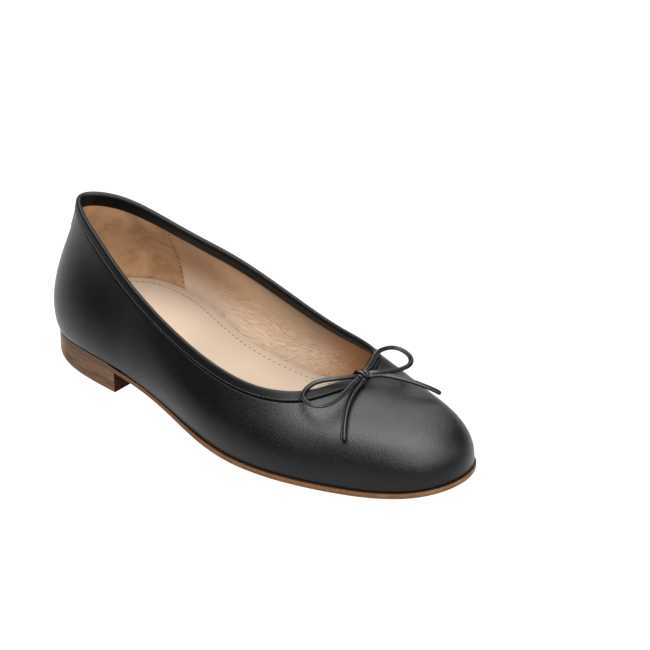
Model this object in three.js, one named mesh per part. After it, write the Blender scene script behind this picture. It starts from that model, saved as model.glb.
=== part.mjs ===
// Ballet flat, right shoe, in black calf with a thin leather bow.
// Millimetres. +X points to the toe, +Y to the inner side of the foot, +Z up.
// The origin lies on the floor under the middle of the heel block.
import * as THREE from 'three';

// Last
const LAST_LENGTH = 240;
const BALL_WIDTH = 81.5;
const BACK_HEIGHT = 57.5;
const THROAT_HEIGHT = 32.2;

// Bottom: the heel lift, and the stretches of the length where the shank falls and the toe rises
const HEEL_HEIGHT = 11.5;
const TOE_SPRING = 8;
const SHANK_START = 0.22;
const SHANK_END = 0.62;
const SPRING_START = 0.76;

// Thicknesses and fits
const GAP = 0.3;
const WALL = 1.8;
const LASTING_MARGIN = 8;
const SOLE_THICKNESS = 2.8;
const SOLE_MARGIN = 1;
const SOLE_EDGE_ROUND = 0.8;
const INSOLE_THICKNESS = 2;
const INSOLE_EDGE_ROUND = 0.5;

// Heel block
const HEEL_LENGTH = 61;
const HEEL_SETBACK = 2.4;
const HEEL_INSET = 0.6;

// Binding round the collar and throat, and the tab on the back seam
const BINDING_HEIGHT = 5;
const BINDING_PROUD = 0.35;
const TAB_WIDTH = 10;
const TAB_LENGTH = 14;
const TAB_THICKNESS = 1;

// Bow
const CORD_DIAMETER = 2.3;
const KNOT_SETBACK = 3;
const KNOT_LENGTH = 6.8;
const KNOT_WIDTH = 8;
const KNOT_HEIGHT = 4.8;

// Mesh fineness
const STATIONS = 88;
const WALL_STEPS = 8;
const BINDING_STEPS = 2;
const BEAD_STEPS = 4;
const HEEL_STEPS = 14;
const TAB_STEPS_ROUND = 6;
const TAB_STEPS_DOWN = 4;
const LOOP_STEPS = 22;
const TAIL_STEPS = 9;
const CORD_SIDES = 8;
const KNOT_SIDES = 12;
const KNOT_RINGS = 8;

// Halvings that find where an outline crosses the breast
const BISECTIONS = 40;

// Sections of the upper from the heel back round either side to the toe tip.
// Feather line: x is a share of LAST_LENGTH, outer and inner are shares of BALL_WIDTH to each side.
// Topline: topX is a share of LAST_LENGTH and topY of BALL_WIDTH, for the outer and inner side, and
// rise is a share of the fall from BACK_HEIGHT to THROAT_HEIGHT. Lean is how far the wall stands out
// over the feather line, and fall how far it comes in at the topline, both in degrees.
const SECTION_COLUMNS = [
  'x', 'outer', 'inner',
  'topXOuter', 'topXInner', 'topYOuter', 'topYInner', 'riseOuter', 'riseInner',
  'lean', 'fall',
];
const SECTION_ROWS = {
  heelBack: [0.008, 0, 0, 0.033, 0.033, 0, 0, 1, 1, 21, 8],
  heelCurve: [0.035, 0.225, 0.23, 0.083, 0.083, 0.145, 0.148, 0.945, 0.955, 17, 8],
  heelSide: [0.1, 0.382, 0.396, 0.16, 0.16, 0.234, 0.234, 0.753, 0.753, 16, 12],
  seatFront: [0.22, 0.448, 0.425, 0.24, 0.24, 0.302, 0.301, 0.484, 0.495, 18, 16],
  waist: [0.38, 0.464, 0.334, 0.342, 0.342, 0.362, 0.376, 0.264, 0.304, 20, 20],
  archFront: [0.54, 0.524, 0.392, 0.476, 0.476, 0.393, 0.414, 0.108, 0.146, 16, 27],
  joint: [0.69, 0.492, 0.502, 0.61, 0.607, 0.36, 0.402, 0.034, 0.075, 10, 34],
  fore: [0.81, 0.372, 0.474, 0.68, 0.69, 0.25, 0.361, 0.025, 0.056, 5, 43],
  toeSide: [0.905, 0.26, 0.378, 0.705, 0.711, 0.115, 0.27, 0.012, 0.034, 3, 53],
  toeCurve: [0.968, 0.122, 0.264, 0.716, 0.721, -0.005, 0.18, 0.003, 0.014, 3, 61],
  toeTip: [0.992, -0.077, 0.077, 0.723, 0.723, -0.092, 0.092, 0, 0, 5, 66],
};

// Each section is a cubic curve. Its handles are these shares of the straight distance it spans.
const FEATHER_HANDLE = 0.42;
const TOPLINE_HANDLE = 0.37;

// The shank and the seat lift the topline only as far forward as this share of the length
const TOPLINE_LIFT_END = 0.9;

// Points of the bow's cords, as steps from the middle of the knot: forward, inward, up
const LOOP_OUTER_POINTS = [
  [-0.8, -4.4, 1.4], [-2.5, -7.6, 2], [-5.2, -12.2, 2.6], [-8.4, -16.2, 2.4],
  [-10.5, -20, 1.9], [-10.7, -24.6, 1.1], [-9.5, -28.6, 0.4], [-7.7, -31.1, -0.1],
  [-4.9, -32.5, -0.7], [-1.5, -32.4, -1.3], [1.3, -30.8, -1.7], [3.2, -28, -1.9],
  [4.4, -23.8, -1.7], [4.2, -18.8, -1.2], [3.3, -13.1, -0.5], [2.2, -7.6, 0.2],
  [1.9, -4.4, 0.6],
];
const LOOP_INNER_POINTS = [
  [-0.2, 4.4, 1.4], [-1.2, 8.6, 2], [-3.4, 13.8, 2.5], [-4.7, 18.5, 2.3],
  [-4.8, 23, 1.6], [-3.7, 26.6, 0.9], [-1.3, 28.9, 0.1], [1.7, 29.6, -0.7],
  [4.8, 28.9, -1.3], [7.4, 26.7, -1.6], [9, 23.3, -1.6], [9.1, 19.2, -1.3],
  [8.2, 14.8, -0.7], [6.8, 10.6, 0], [4.9, 6.8, 0.6], [3.2, 4.5, 0.8],
];
const TAIL_OUTER_POINTS = [
  [3.2, -3.2, -1.7], [3, -6, -2.3], [4.2, -10.6, -3.3], [6.4, -15.8, -4.6],
  [9.4, -21.1, -6], [12.6, -25.9, -7.6], [15.5, -29.9, -9.6], [17.6, -32.4, -11.4],
];
const TAIL_INNER_POINTS = [
  [4.2, 2, -1.3], [5, 5, -2], [7.6, 8.2, -2.4], [11.4, 10.8, -2.8],
  [15.3, 13.2, -3.3], [19.4, 15.5, -4.1], [23.6, 17.7, -5.2], [26.9, 19.7, -6.6],
  [29.3, 21.4, -8],
];

const UP = new THREE.Vector3(0, 0, 1);
const REAR_X = -(HEEL_LENGTH / 2 + HEEL_SETBACK);
const BREAST_X = HEEL_LENGTH / 2;

const black = new THREE.MeshStandardMaterial({ color: 0x17171a, roughness: 0.38, metalness: 0 });
const sock = new THREE.MeshStandardMaterial({ color: 0xe0c6a8, roughness: 0.7, metalness: 0 });
const soleLeather = new THREE.MeshStandardMaterial({ color: 0xa5673f, roughness: 0.6, metalness: 0 });
const stack = new THREE.MeshStandardMaterial({ color: 0x8a6a55, roughness: 0.6, metalness: 0 });

function smoothStep(from, to, value) {
  const t = THREE.MathUtils.clamp((value - from) / (to - from), 0, 1);
  return t * t * (3 - 2 * t);
}

function lengthShare(x) {
  return (x - REAR_X) / LAST_LENGTH;
}

// Height of the outsole's underside: level seat, falling shank, flat forefoot, rising toe
function bottomHeight(x) {
  const t = lengthShare(x);
  const spring = Math.max(0, (t - SPRING_START) / (1 - SPRING_START));
  return HEEL_HEIGHT * (1 - smoothStep(SHANK_START, SHANK_END, t)) + TOE_SPRING * spring ** 2;
}

function featherHeight(x) {
  return bottomHeight(x) + SOLE_THICKNESS + GAP;
}

// Gaussian elimination with the largest pivot
function solve(matrix, values) {
  const size = values.length;
  const rows = matrix.map((row, i) => [...row, values[i]]);
  for (let column = 0; column < size; column += 1) {
    let pivot = column;
    for (let i = column + 1; i < size; i += 1) {
      if (Math.abs(rows[i][column]) > Math.abs(rows[pivot][column])) pivot = i;
    }
    [rows[column], rows[pivot]] = [rows[pivot], rows[column]];
    for (let i = column + 1; i < size; i += 1) {
      const factor = rows[i][column] / rows[column][column];
      for (let j = column; j <= size; j += 1) rows[i][j] -= factor * rows[column][j];
    }
  }
  const result = new Array(size).fill(0);
  for (let i = size - 1; i >= 0; i -= 1) {
    let sum = rows[i][size];
    for (let j = i + 1; j < size; j += 1) sum -= rows[i][j] * result[j];
    result[i] = sum / rows[i][i];
  }
  return result;
}

// A smooth curve of numbers round a closed loop, through one value at each knot
class ClosedSpline {
  constructor(knots, total, values) {
    this.knots = knots;
    this.total = total;
    this.values = values;
    this.count = values.length;
    this.spans = knots.map((knot, i) => (i + 1 < this.count ? knots[i + 1] : total) - knot);
    this.slopes = this.findSlopes();
  }

  findSlopes() {
    const { count, spans, values } = this;
    const matrix = values.map(() => new Array(count).fill(0));
    const sides = values.map((value, i) => {
      const before = (i + count - 1) % count;
      const after = (i + 1) % count;
      matrix[i][before] += 1 / spans[before];
      matrix[i][i] += 2 / spans[before] + 2 / spans[i];
      matrix[i][after] += 1 / spans[i];
      const climbBefore = (value - values[before]) / spans[before] ** 2;
      const climbAfter = (values[after] - value) / spans[i] ** 2;
      return 3 * (climbBefore + climbAfter);
    });
    return solve(matrix, sides);
  }

  at(position) {
    const u = THREE.MathUtils.euclideanModulo(position, this.total);
    let i = this.count - 1;
    while (this.knots[i] > u) i -= 1;
    const next = (i + 1) % this.count;
    const h = this.spans[i];
    const s = (u - this.knots[i]) / h;
    const fromStart = this.values[i] * (1 + 2 * s) * (1 - s) ** 2 + this.slopes[i] * h * s * (1 - s) ** 2;
    const fromEnd = this.values[next] * s ** 2 * (3 - 2 * s) + this.slopes[next] * h * s ** 2 * (s - 1);
    return fromStart + fromEnd;
  }
}

// The surface of the last: a loop of sections, position u measured along the feather line's chords
class LastSurface {
  constructor() {
    const rows = Object.values(SECTION_ROWS).map((row) => Object.fromEntries(
      SECTION_COLUMNS.map((name, i) => [name, row[i]]),
    ));
    const inner = rows.slice(1, -1).reverse();
    const loop = (outerValue, innerValue) => [...rows.map(outerValue), ...inner.map(innerValue)];
    const x = loop((row) => REAR_X + row.x * LAST_LENGTH, (row) => REAR_X + row.x * LAST_LENGTH);
    const y = loop((row) => -row.outer * BALL_WIDTH, (row) => row.inner * BALL_WIDTH);
    const knots = [0];
    for (let i = 1; i <= x.length; i += 1) {
      const j = i % x.length;
      knots.push(knots[i - 1] + Math.hypot(x[j] - x[i - 1], y[j] - y[i - 1]));
    }
    this.total = knots.pop();
    this.toeTip = knots[rows.length - 1];
    const spline = (values) => new ClosedSpline(knots, this.total, values);
    this.x = spline(x);
    this.y = spline(y);
    this.topX = spline(loop(
      (row) => REAR_X + row.topXOuter * LAST_LENGTH,
      (row) => REAR_X + row.topXInner * LAST_LENGTH,
    ));
    this.topY = spline(loop((row) => -row.topYOuter * BALL_WIDTH, (row) => row.topYInner * BALL_WIDTH));
    this.rise = spline(loop((row) => row.riseOuter, (row) => row.riseInner));
    this.lean = spline(loop((row) => row.lean, (row) => row.lean));
    this.fall = spline(loop((row) => row.fall, (row) => row.fall));
  }

  featherPoint(u) {
    const x = this.x.at(u);
    return new THREE.Vector3(x, this.y.at(u), featherHeight(x));
  }

  // Level direction away from the foot
  outward(u) {
    const step = this.total / STATIONS / 4;
    const along = this.featherPoint(u + step).sub(this.featherPoint(u - step));
    return new THREE.Vector3(along.y, -along.x, 0).normalize();
  }

  toplinePoint(u) {
    const x = this.topX.at(u);
    const liftEnd = REAR_X + TOPLINE_LIFT_END * LAST_LENGTH;
    const height = THROAT_HEIGHT + this.rise.at(u) * (BACK_HEIGHT - THROAT_HEIGHT);
    return new THREE.Vector3(x, this.topY.at(u), featherHeight(Math.min(x, liftEnd)) + height);
  }

  section(u) {
    const start = this.featherPoint(u);
    const end = this.toplinePoint(u);
    const outward = this.outward(u);
    const lean = THREE.MathUtils.degToRad(this.lean.at(u));
    const fall = THREE.MathUtils.degToRad(this.fall.at(u));
    const span = start.distanceTo(end);
    const startHandle = start.clone()
      .addScaledVector(outward, span * FEATHER_HANDLE * Math.sin(lean))
      .addScaledVector(UP, span * FEATHER_HANDLE * Math.cos(lean));
    const endHandle = end.clone()
      .addScaledVector(outward, span * TOPLINE_HANDLE * Math.sin(fall))
      .addScaledVector(UP, -span * TOPLINE_HANDLE * Math.cos(fall));
    return new THREE.CubicBezierCurve3(start, startHandle, endHandle, end);
  }

  // A level ring beside the feather line, `grow` outside it, at the height that a function of x gives
  ring(grow, height) {
    return stationPositions(this.total).map((u) => this.besideFeather(u, grow, height));
  }

  besideFeather(u, grow, height) {
    const point = this.featherPoint(u).addScaledVector(this.outward(u), grow);
    point.z = height(point.x);
    return point;
  }
}

// One station of the wall: points below the topline by a distance, and off the surface by an offset
class WallStation {
  constructor(last, u) {
    const step = last.total / STATIONS / 4;
    this.curve = last.section(u);
    this.before = last.section(u - step);
    this.after = last.section(u + step);
    this.length = this.curve.getLength();
  }

  at(below, offset) {
    const share = THREE.MathUtils.clamp(1 - below / this.length, 0, 1);
    const along = this.after.getPointAt(share).sub(this.before.getPointAt(share));
    const normal = along.cross(this.curve.getTangentAt(share)).normalize();
    return this.curve.getPointAt(share).addScaledVector(normal, offset);
  }
}

function stationPositions(total) {
  return Array.from({ length: STATIONS }, (unused, i) => (total * i) / STATIONS);
}

function geometryFrom(points, faces) {
  const geometry = new THREE.BufferGeometry();
  geometry.setAttribute('position', new THREE.Float32BufferAttribute(points.flatMap((p) => p.toArray()), 3));
  geometry.setIndex(faces.flat());
  geometry.computeVertexNormals();
  return geometry;
}

// Two triangles for each cell of a grid of points. The second count wraps round where it is closed.
function gridFaces(columns, rows, rowsClosed) {
  const faces = [];
  const lastRow = rowsClosed ? rows : rows - 1;
  for (let i = 0; i < columns; i += 1) {
    for (let k = 0; k < lastRow; k += 1) {
      const here = i * rows + k;
      const above = i * rows + ((k + 1) % rows);
      const next = ((i + 1) % columns) * rows + k;
      const nextAbove = ((i + 1) % columns) * rows + ((k + 1) % rows);
      faces.push([here, next, nextAbove], [here, nextAbove, above]);
    }
  }
  return faces;
}

// A closed band: the same closed section at each station round the shoe
function bandBody(sections) {
  const rows = sections[0].length;
  return geometryFrom(sections.flat(), gridFaces(sections.length, rows, true));
}

// Rungs across a ring, from its start to the far end, as triangles that face up
function rungFaces(count, index) {
  const faces = [];
  let low = 0;
  let high = count;
  while (low + 1 < high - 1) {
    const start = index(low);
    const startHigh = index(high % count);
    if (low > 0) faces.push([start, index(low + 1), index(high - 1)], [start, index(high - 1), startHigh]);
    else faces.push([start, index(1), index(count - 1)]);
    low += 1;
    high -= 1;
  }
  if (low + 1 === high - 1) faces.push([index(low), index(low + 1), index(high)]);
  return faces;
}

// A plate between stacked rings of equal count, the lowest first
function stackedBody(rings) {
  const levels = rings.length;
  const count = rings[0].length;
  const columns = rings[0].map((unused, i) => rings.map((ring) => ring[i]));
  const faces = gridFaces(count, levels, false);
  const bottom = rungFaces(count, (i) => i * levels).map(([a, b, c]) => [a, c, b]);
  const top = rungFaces(count, (i) => i * levels + levels - 1);
  return geometryFrom(columns.flat(), [...faces, ...bottom, ...top]);
}

// A patch with thickness: inner and outer grids of points joined round their rim
function patchBody(outerRows, innerRows) {
  const down = outerRows[0].length;
  const columns = outerRows.map((row, i) => [...row, ...[...innerRows[i]].reverse()]);
  const loop = down * 2;
  const faces = [];
  for (let i = 0; i + 1 < columns.length; i += 1) {
    for (let k = 0; k < loop; k += 1) {
      const above = (k + 1) % loop;
      faces.push([i * loop + k, (i + 1) * loop + k, (i + 1) * loop + above]);
      faces.push([i * loop + k, (i + 1) * loop + above, i * loop + above]);
    }
  }
  const end = (columns.length - 1) * loop;
  for (let k = 0; k + 1 < down; k += 1) {
    const far = loop - 1 - k;
    faces.push([k, k + 1, far - 1], [k, far - 1, far]);
    faces.push([end + k, end + far - 1, end + k + 1], [end + k, end + far, end + far - 1]);
  }
  return geometryFrom(columns.flat(), faces);
}

// The upper: outer face, top edge under the binding, inner face, and the margin lasted under the foot
function upperSection(last, u) {
  const station = new WallStation(last, u);
  const top = BINDING_HEIGHT + GAP;
  const belows = Array.from(
    { length: WALL_STEPS + 1 },
    (unused, k) => station.length + ((top - station.length) * k) / WALL_STEPS,
  );
  const outer = belows.map((below) => station.at(below, 0));
  const inner = belows.slice(1).reverse().map((below) => station.at(below, -WALL));
  const lean = THREE.MathUtils.degToRad(last.lean.at(u));
  const insideCorner = WALL * Math.tan(lean) - WALL / Math.cos(lean);
  const marginTop = (x) => featherHeight(x) + WALL;
  return [
    ...outer,
    ...inner,
    last.besideFeather(u, insideCorner, marginTop),
    last.besideFeather(u, -LASTING_MARGIN, marginTop),
    last.besideFeather(u, -LASTING_MARGIN, featherHeight),
  ];
}

function makeUpper(last) {
  return bandBody(stationPositions(last.total).map((u) => upperSection(last, u)));
}

// The binding: a folded strip a little thicker than the wall, with a round top edge
function bindingSection(last, u) {
  const station = new WallStation(last, u);
  const radius = WALL / 2 + BINDING_PROUD;
  const side = (offset) => Array.from(
    { length: BINDING_STEPS + 1 },
    (unused, k) => station.at(BINDING_HEIGHT + ((radius - BINDING_HEIGHT) * k) / BINDING_STEPS, offset),
  );
  const bead = Array.from({ length: BEAD_STEPS - 1 }, (unused, k) => {
    const angle = (Math.PI * (k + 1)) / BEAD_STEPS;
    return station.at(radius * (1 - Math.sin(angle)), -WALL / 2 + radius * Math.cos(angle));
  });
  return [...side(BINDING_PROUD), ...bead, ...side(-WALL - BINDING_PROUD).reverse()];
}

function makeBinding(last) {
  return bandBody(stationPositions(last.total).map((u) => bindingSection(last, u)));
}

function makeBackTab(last) {
  const start = BINDING_HEIGHT + GAP;
  const face = (offset) => Array.from({ length: TAB_STEPS_ROUND + 1 }, (unused, i) => {
    const station = new WallStation(last, TAB_WIDTH * (i / TAB_STEPS_ROUND - 0.5));
    return Array.from({ length: TAB_STEPS_DOWN + 1 }, (other, k) => (
      station.at(start + TAB_LENGTH * (1 - k / TAB_STEPS_DOWN), offset)
    ));
  });
  return patchBody(face(GAP + TAB_THICKNESS), face(GAP));
}

function makeOutsole(last) {
  const top = (x) => bottomHeight(x) + SOLE_THICKNESS;
  return stackedBody([
    last.ring(SOLE_MARGIN - SOLE_EDGE_ROUND, bottomHeight),
    last.ring(SOLE_MARGIN, (x) => bottomHeight(x) + SOLE_EDGE_ROUND),
    last.ring(SOLE_MARGIN, (x) => top(x) - SOLE_EDGE_ROUND / 2),
    last.ring(SOLE_MARGIN - SOLE_EDGE_ROUND / 2, top),
  ]);
}

// The insole lies on the lasting margin and follows the leaning wall with a clearance
function makeInsole(last) {
  const level = (rise, pullIn) => stationPositions(last.total).map((u) => {
    const lean = THREE.MathUtils.degToRad(last.lean.at(u));
    const grow = Math.min(rise * Math.tan(lean), 0) - WALL / Math.cos(lean) - GAP - pullIn;
    return last.besideFeather(u, grow, (x) => featherHeight(x) + rise);
  });
  const base = WALL + GAP;
  return stackedBody([
    level(base, 0),
    level(base + INSOLE_THICKNESS - INSOLE_EDGE_ROUND, 0),
    level(base + INSOLE_THICKNESS, INSOLE_EDGE_ROUND),
  ]);
}

// Where the heel's outline crosses the breast, between the heel back and a position past it
function breastPosition(last, past) {
  let behind = 0;
  let ahead = past;
  for (let i = 0; i < BISECTIONS; i += 1) {
    const middle = (behind + ahead) / 2;
    if (last.besideFeather(middle, -HEEL_INSET, featherHeight).x < BREAST_X) behind = middle;
    else ahead = middle;
  }
  return (behind + ahead) / 2;
}

// The heel block: the seat's outline as far as the breast, which is straight
function makeHeel(last) {
  const outerEnd = breastPosition(last, last.toeTip);
  const innerEnd = breastPosition(last, last.toeTip - last.total);
  const side = (end) => Array.from({ length: HEEL_STEPS }, (unused, i) => (end * (i + 1)) / HEEL_STEPS);
  const positions = [0, ...side(outerEnd), ...side(innerEnd).reverse()];
  const ring = (height) => positions.map((u) => last.besideFeather(u, -HEEL_INSET, height));
  return stackedBody([ring(() => 0), ring((x) => bottomHeight(x) - GAP)]);
}

function knotMiddle(last) {
  const station = new WallStation(last, last.toeTip);
  return station.at(KNOT_SETBACK, BINDING_PROUD + GAP + KNOT_HEIGHT / 2);
}

function makeKnot(middle) {
  const knot = new THREE.SphereGeometry(0.5, KNOT_SIDES, KNOT_RINGS);
  knot.scale(KNOT_LENGTH, KNOT_WIDTH, KNOT_HEIGHT);
  knot.translate(middle.x, middle.y, middle.z);
  return knot;
}

function makeCord(middle, steps, count) {
  const points = steps.map((step) => new THREE.Vector3(...step).add(middle));
  const section = new THREE.Shape();
  for (let i = 0; i < CORD_SIDES; i += 1) {
    const angle = (2 * Math.PI * i) / CORD_SIDES;
    const x = (CORD_DIAMETER / 2) * Math.cos(angle);
    const y = (CORD_DIAMETER / 2) * Math.sin(angle);
    if (i === 0) section.moveTo(x, y);
    else section.lineTo(x, y);
  }
  const path = new THREE.CatmullRomCurve3(points);
  return new THREE.ExtrudeGeometry(section, { steps: count, extrudePath: path });
}

function addPiece(group, name, geometry, material) {
  const mesh = new THREE.Mesh(geometry, material);
  mesh.name = name;
  group.add(mesh);
}

const last = new LastSurface();
const knot = knotMiddle(last);
const shoe = new THREE.Group();
addPiece(shoe, 'upper', makeUpper(last), black);
addPiece(shoe, 'topline_binding', makeBinding(last), black);
addPiece(shoe, 'back_tab', makeBackTab(last), black);
addPiece(shoe, 'insole', makeInsole(last), sock);
addPiece(shoe, 'outsole', makeOutsole(last), soleLeather);
addPiece(shoe, 'heel', makeHeel(last), stack);
addPiece(shoe, 'bow_knot', makeKnot(knot), black);
addPiece(shoe, 'bow_loop_lateral', makeCord(knot, LOOP_OUTER_POINTS, LOOP_STEPS), black);
addPiece(shoe, 'bow_loop_medial', makeCord(knot, LOOP_INNER_POINTS, LOOP_STEPS), black);
addPiece(shoe, 'bow_tail_lateral', makeCord(knot, TAIL_OUTER_POINTS, TAIL_STEPS), black);
addPiece(shoe, 'bow_tail_medial', makeCord(knot, TAIL_INNER_POINTS, TAIL_STEPS), black);

export default shoe;
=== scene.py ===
"""Looks of a right ballet flat in black calf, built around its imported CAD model."""

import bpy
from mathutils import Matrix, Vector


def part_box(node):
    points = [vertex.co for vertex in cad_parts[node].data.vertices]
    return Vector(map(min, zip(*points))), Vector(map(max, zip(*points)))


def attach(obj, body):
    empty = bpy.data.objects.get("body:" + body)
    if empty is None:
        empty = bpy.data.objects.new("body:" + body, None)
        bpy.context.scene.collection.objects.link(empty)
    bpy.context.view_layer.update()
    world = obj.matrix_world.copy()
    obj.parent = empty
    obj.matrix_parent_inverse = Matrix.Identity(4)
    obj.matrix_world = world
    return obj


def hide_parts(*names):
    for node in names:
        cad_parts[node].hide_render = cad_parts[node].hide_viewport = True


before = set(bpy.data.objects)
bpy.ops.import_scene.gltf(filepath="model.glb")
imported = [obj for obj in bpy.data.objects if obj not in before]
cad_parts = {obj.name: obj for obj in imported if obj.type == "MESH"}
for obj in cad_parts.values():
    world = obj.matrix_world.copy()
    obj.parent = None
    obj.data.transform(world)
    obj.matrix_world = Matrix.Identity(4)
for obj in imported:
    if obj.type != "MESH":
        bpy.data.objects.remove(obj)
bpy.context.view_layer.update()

import logging
import math
from dataclasses import dataclass, field
from enum import Enum
from typing import Callable, Sequence

import bpy
import numpy as np
from mathutils import Matrix, Vector

log = logging.getLogger("ballet_flat")
MM = 0.001
BODY = "root"
SMOOTH_ANGLE = 38
Array = np.ndarray
Piece = bpy.types.Object
Material = bpy.types.Material
HeightRule = Callable[[Array], Array]


def grey(value: float) -> tuple[float, float, float, float]:
    """A grey colour."""
    return (value, value, value, 1)


class Slot(Enum):
    """Names of material slots; each piece is passed one."""

    CALF = "upper_calf"
    BINDING = "binding_calf"
    CORD = "bow_cord"
    LINING = "lining_leather"
    SOCK = "insole_leather"
    SOLE = "sole_leather"
    HEEL = "heel_stack"
    THREAD = "thread"


class FarEnd(Enum):
    """What is on the far end of a cord."""

    KNOT = "object"
    BARE = "bare"


# Node expressions


class Wire:
    """A node socket that takes part in sums and products."""

    def __init__(self, bench: "NodeBench", socket: bpy.types.NodeSocket) -> None:
        """Keeps the socket and the bench that its nodes go on."""
        self.bench = bench
        self.socket = socket

    def __add__(self, other: "Wire | float") -> "Wire":
        """The sum as a Math node."""
        return self.bench.math("ADD", self, other)

    def __sub__(self, other: "Wire | float") -> "Wire":
        """The difference as a Math node."""
        return self.bench.math("SUBTRACT", self, other)

    def __mul__(self, other: "Wire | float") -> "Wire":
        """The product as a Math node."""
        return self.bench.math("MULTIPLY", self, other)

    def __rsub__(self, other: float) -> "Wire":
        """A number less this value."""
        return self.bench.math("SUBTRACT", other, self)

    def __pow__(self, other: float) -> "Wire":
        """This value to a power."""
        return self.bench.math("POWER", self, other)

    __radd__ = __add__
    __rmul__ = __mul__


class NodeBench:
    """Makes the nodes of one material or world."""

    def __init__(self, owner: bpy.types.ID) -> None:
        """Starts the owner's nodes afresh."""
        owner.use_nodes = True
        self.owner = owner
        self.tree = owner.node_tree
        self.tree.nodes.clear()

    @classmethod
    def start(cls, name: str) -> "tuple[NodeBench, Wire]":
        """A bench for a new material of that name, and its object coordinates."""
        bench = cls(bpy.data.materials.new(name))
        return bench, bench.add("TexCoord", out="Object")

    def node(self, kind: str, settings: dict, values: dict) -> bpy.types.Node:
        """Adds one node.

        Args:
            kind: The node's type name without its common start.
            settings: Its properties.
            values: Numbers, tuples or wires for its sockets, by name or number.

        Returns:
            The node.
        """
        node = self.tree.nodes.new("ShaderNode" + kind)
        for key, value in settings.items():
            setattr(node, key, value)
        for key, value in values.items():
            if isinstance(value, Wire):
                self.tree.links.new(value.socket, node.inputs[key])
            else:
                node.inputs[key].default_value = value
        return node

    def add(
        self, kind: str, settings: dict | None = None, values: dict | None = None, out: int | str = 0
    ) -> Wire:
        """Adds one node as `node` does, and gives one of its outputs as a wire."""
        return Wire(self, self.node(kind, settings or {}, values or {}).outputs[out])

    def math(self, operation: str, *terms: "Wire | float") -> Wire:
        """A Math node on its terms."""
        return self.add("Math", {"operation": operation}, dict(enumerate(terms)))

    def axis(self, vector: Wire, number: int) -> Wire:
        """One part of a vector."""
        return self.add("SeparateXYZ", None, {0: vector}, number)

    def map_height(self) -> Wire:
        """The second part of the piece's own map."""
        return self.axis(self.add("UVMap", {"uv_map": "UVMap"}), 1)

    def stretch(self, vector: Wire, scale: Sequence[float]) -> Wire:
        """A vector scaled along its axes."""
        return self.add("Mapping", {"vector_type": "POINT"}, {0: vector, "Scale": tuple(scale)})

    def noise(
        self, vector: Wire, size: float, detail: float = 2, roughness: float = 0.5, warp: float = 0
    ) -> Wire:
        """Soft noise whose blobs are about `size` metres across."""
        values = {"Scale": 1 / size, "Detail": detail, "Roughness": roughness, "Distortion": warp}
        return self.add("TexNoise", None, {"Vector": vector, **values})

    def cells(self, vector: Wire, size: float) -> Wire:
        """Distances in a pattern of cells about `size` metres across."""
        values = {"Vector": vector, "Scale": 1 / size, "Randomness": 1}
        return self.add("TexVoronoi", {"feature": "F1"}, values)

    def band(self, value: Wire, low: float, high: float, step: str = "SMOOTHSTEP") -> Wire:
        """A smooth step, or one of another kind, from 0 at low to 1 at high."""
        settings = {"interpolation_type": step, "clamp": True}
        return self.add("MapRange", settings, {0: value, 1: low, 2: high, 3: 0.0, 4: 1.0})

    def mix(self, factor: Wire | float, first: Wire | tuple, second: Wire | tuple) -> Wire:
        """A mix of two colours."""
        return self.add("Mix", {"data_type": "RGBA"}, {0: factor, 6: first, 7: second}, out=2)

    def bump(self, height: Wire, depth: float, under: Wire | None = None) -> Wire:
        """A Bump node whose height of 1 stands for `depth` metres."""
        below = {"Normal": under} if under else {}
        return self.add("Bump", None, {"Strength": 1.0, "Distance": depth, "Height": height, **below})

    def finish(self, constants: dict, **varying: Wire) -> Material:
        """Closes the material with a Principled shader.

        Args:
            constants: Values for the shader's own sockets.
            varying: Wires for Base Color, Roughness and the like, with _ for a space.

        Returns:
            The finished material.
        """
        sockets = {name.replace("_", " "): wire for name, wire in varying.items()}
        shader = self.add("BsdfPrincipled", None, {**constants, **sockets})
        self.node("OutputMaterial", {}, {"Surface": shader})
        return self.owner


# Finishes


@dataclass(frozen=True)
class Calf:
    """Smooth black calf with a fine grain and a soft sheen."""

    name: str = "black_calf"
    colour: tuple = (0.001, 0.001, 0.0011, 1)
    worn: tuple = (0.0018, 0.0018, 0.0019, 1)
    roughness: float = 0.315
    grain: float = 0.5 * MM
    depth: float = 0.1 * MM
    ripple: float = 0.03 * MM
    ior: float = 1.32

    def material(self) -> Material:
        """The calf as a material."""
        bench, place = NodeBench.start(self.name)
        cloud = bench.noise(place, 18 * MM, 3)
        fine = bench.noise(place, 1.4 * MM, 3, 0.6)
        pores = bench.cells(place, self.grain)
        pebbles = bench.noise(place, 0.4 * MM, 3, 0.7)
        shade = bench.mix(bench.band(cloud, 0.4, 0.75), self.colour, self.worn)
        rough = self.roughness + (cloud - 0.5) * 0.05 + (fine - 0.5) * 0.05
        slow = bench.bump(bench.noise(place, 7 * MM, 2), self.ripple)
        height = pores * 0.8 + pebbles * 0.9
        normal = bench.bump(height, self.depth, slow)
        return bench.finish({"IOR": self.ior}, Base_Color=shade, Roughness=rough, Normal=normal)


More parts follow.
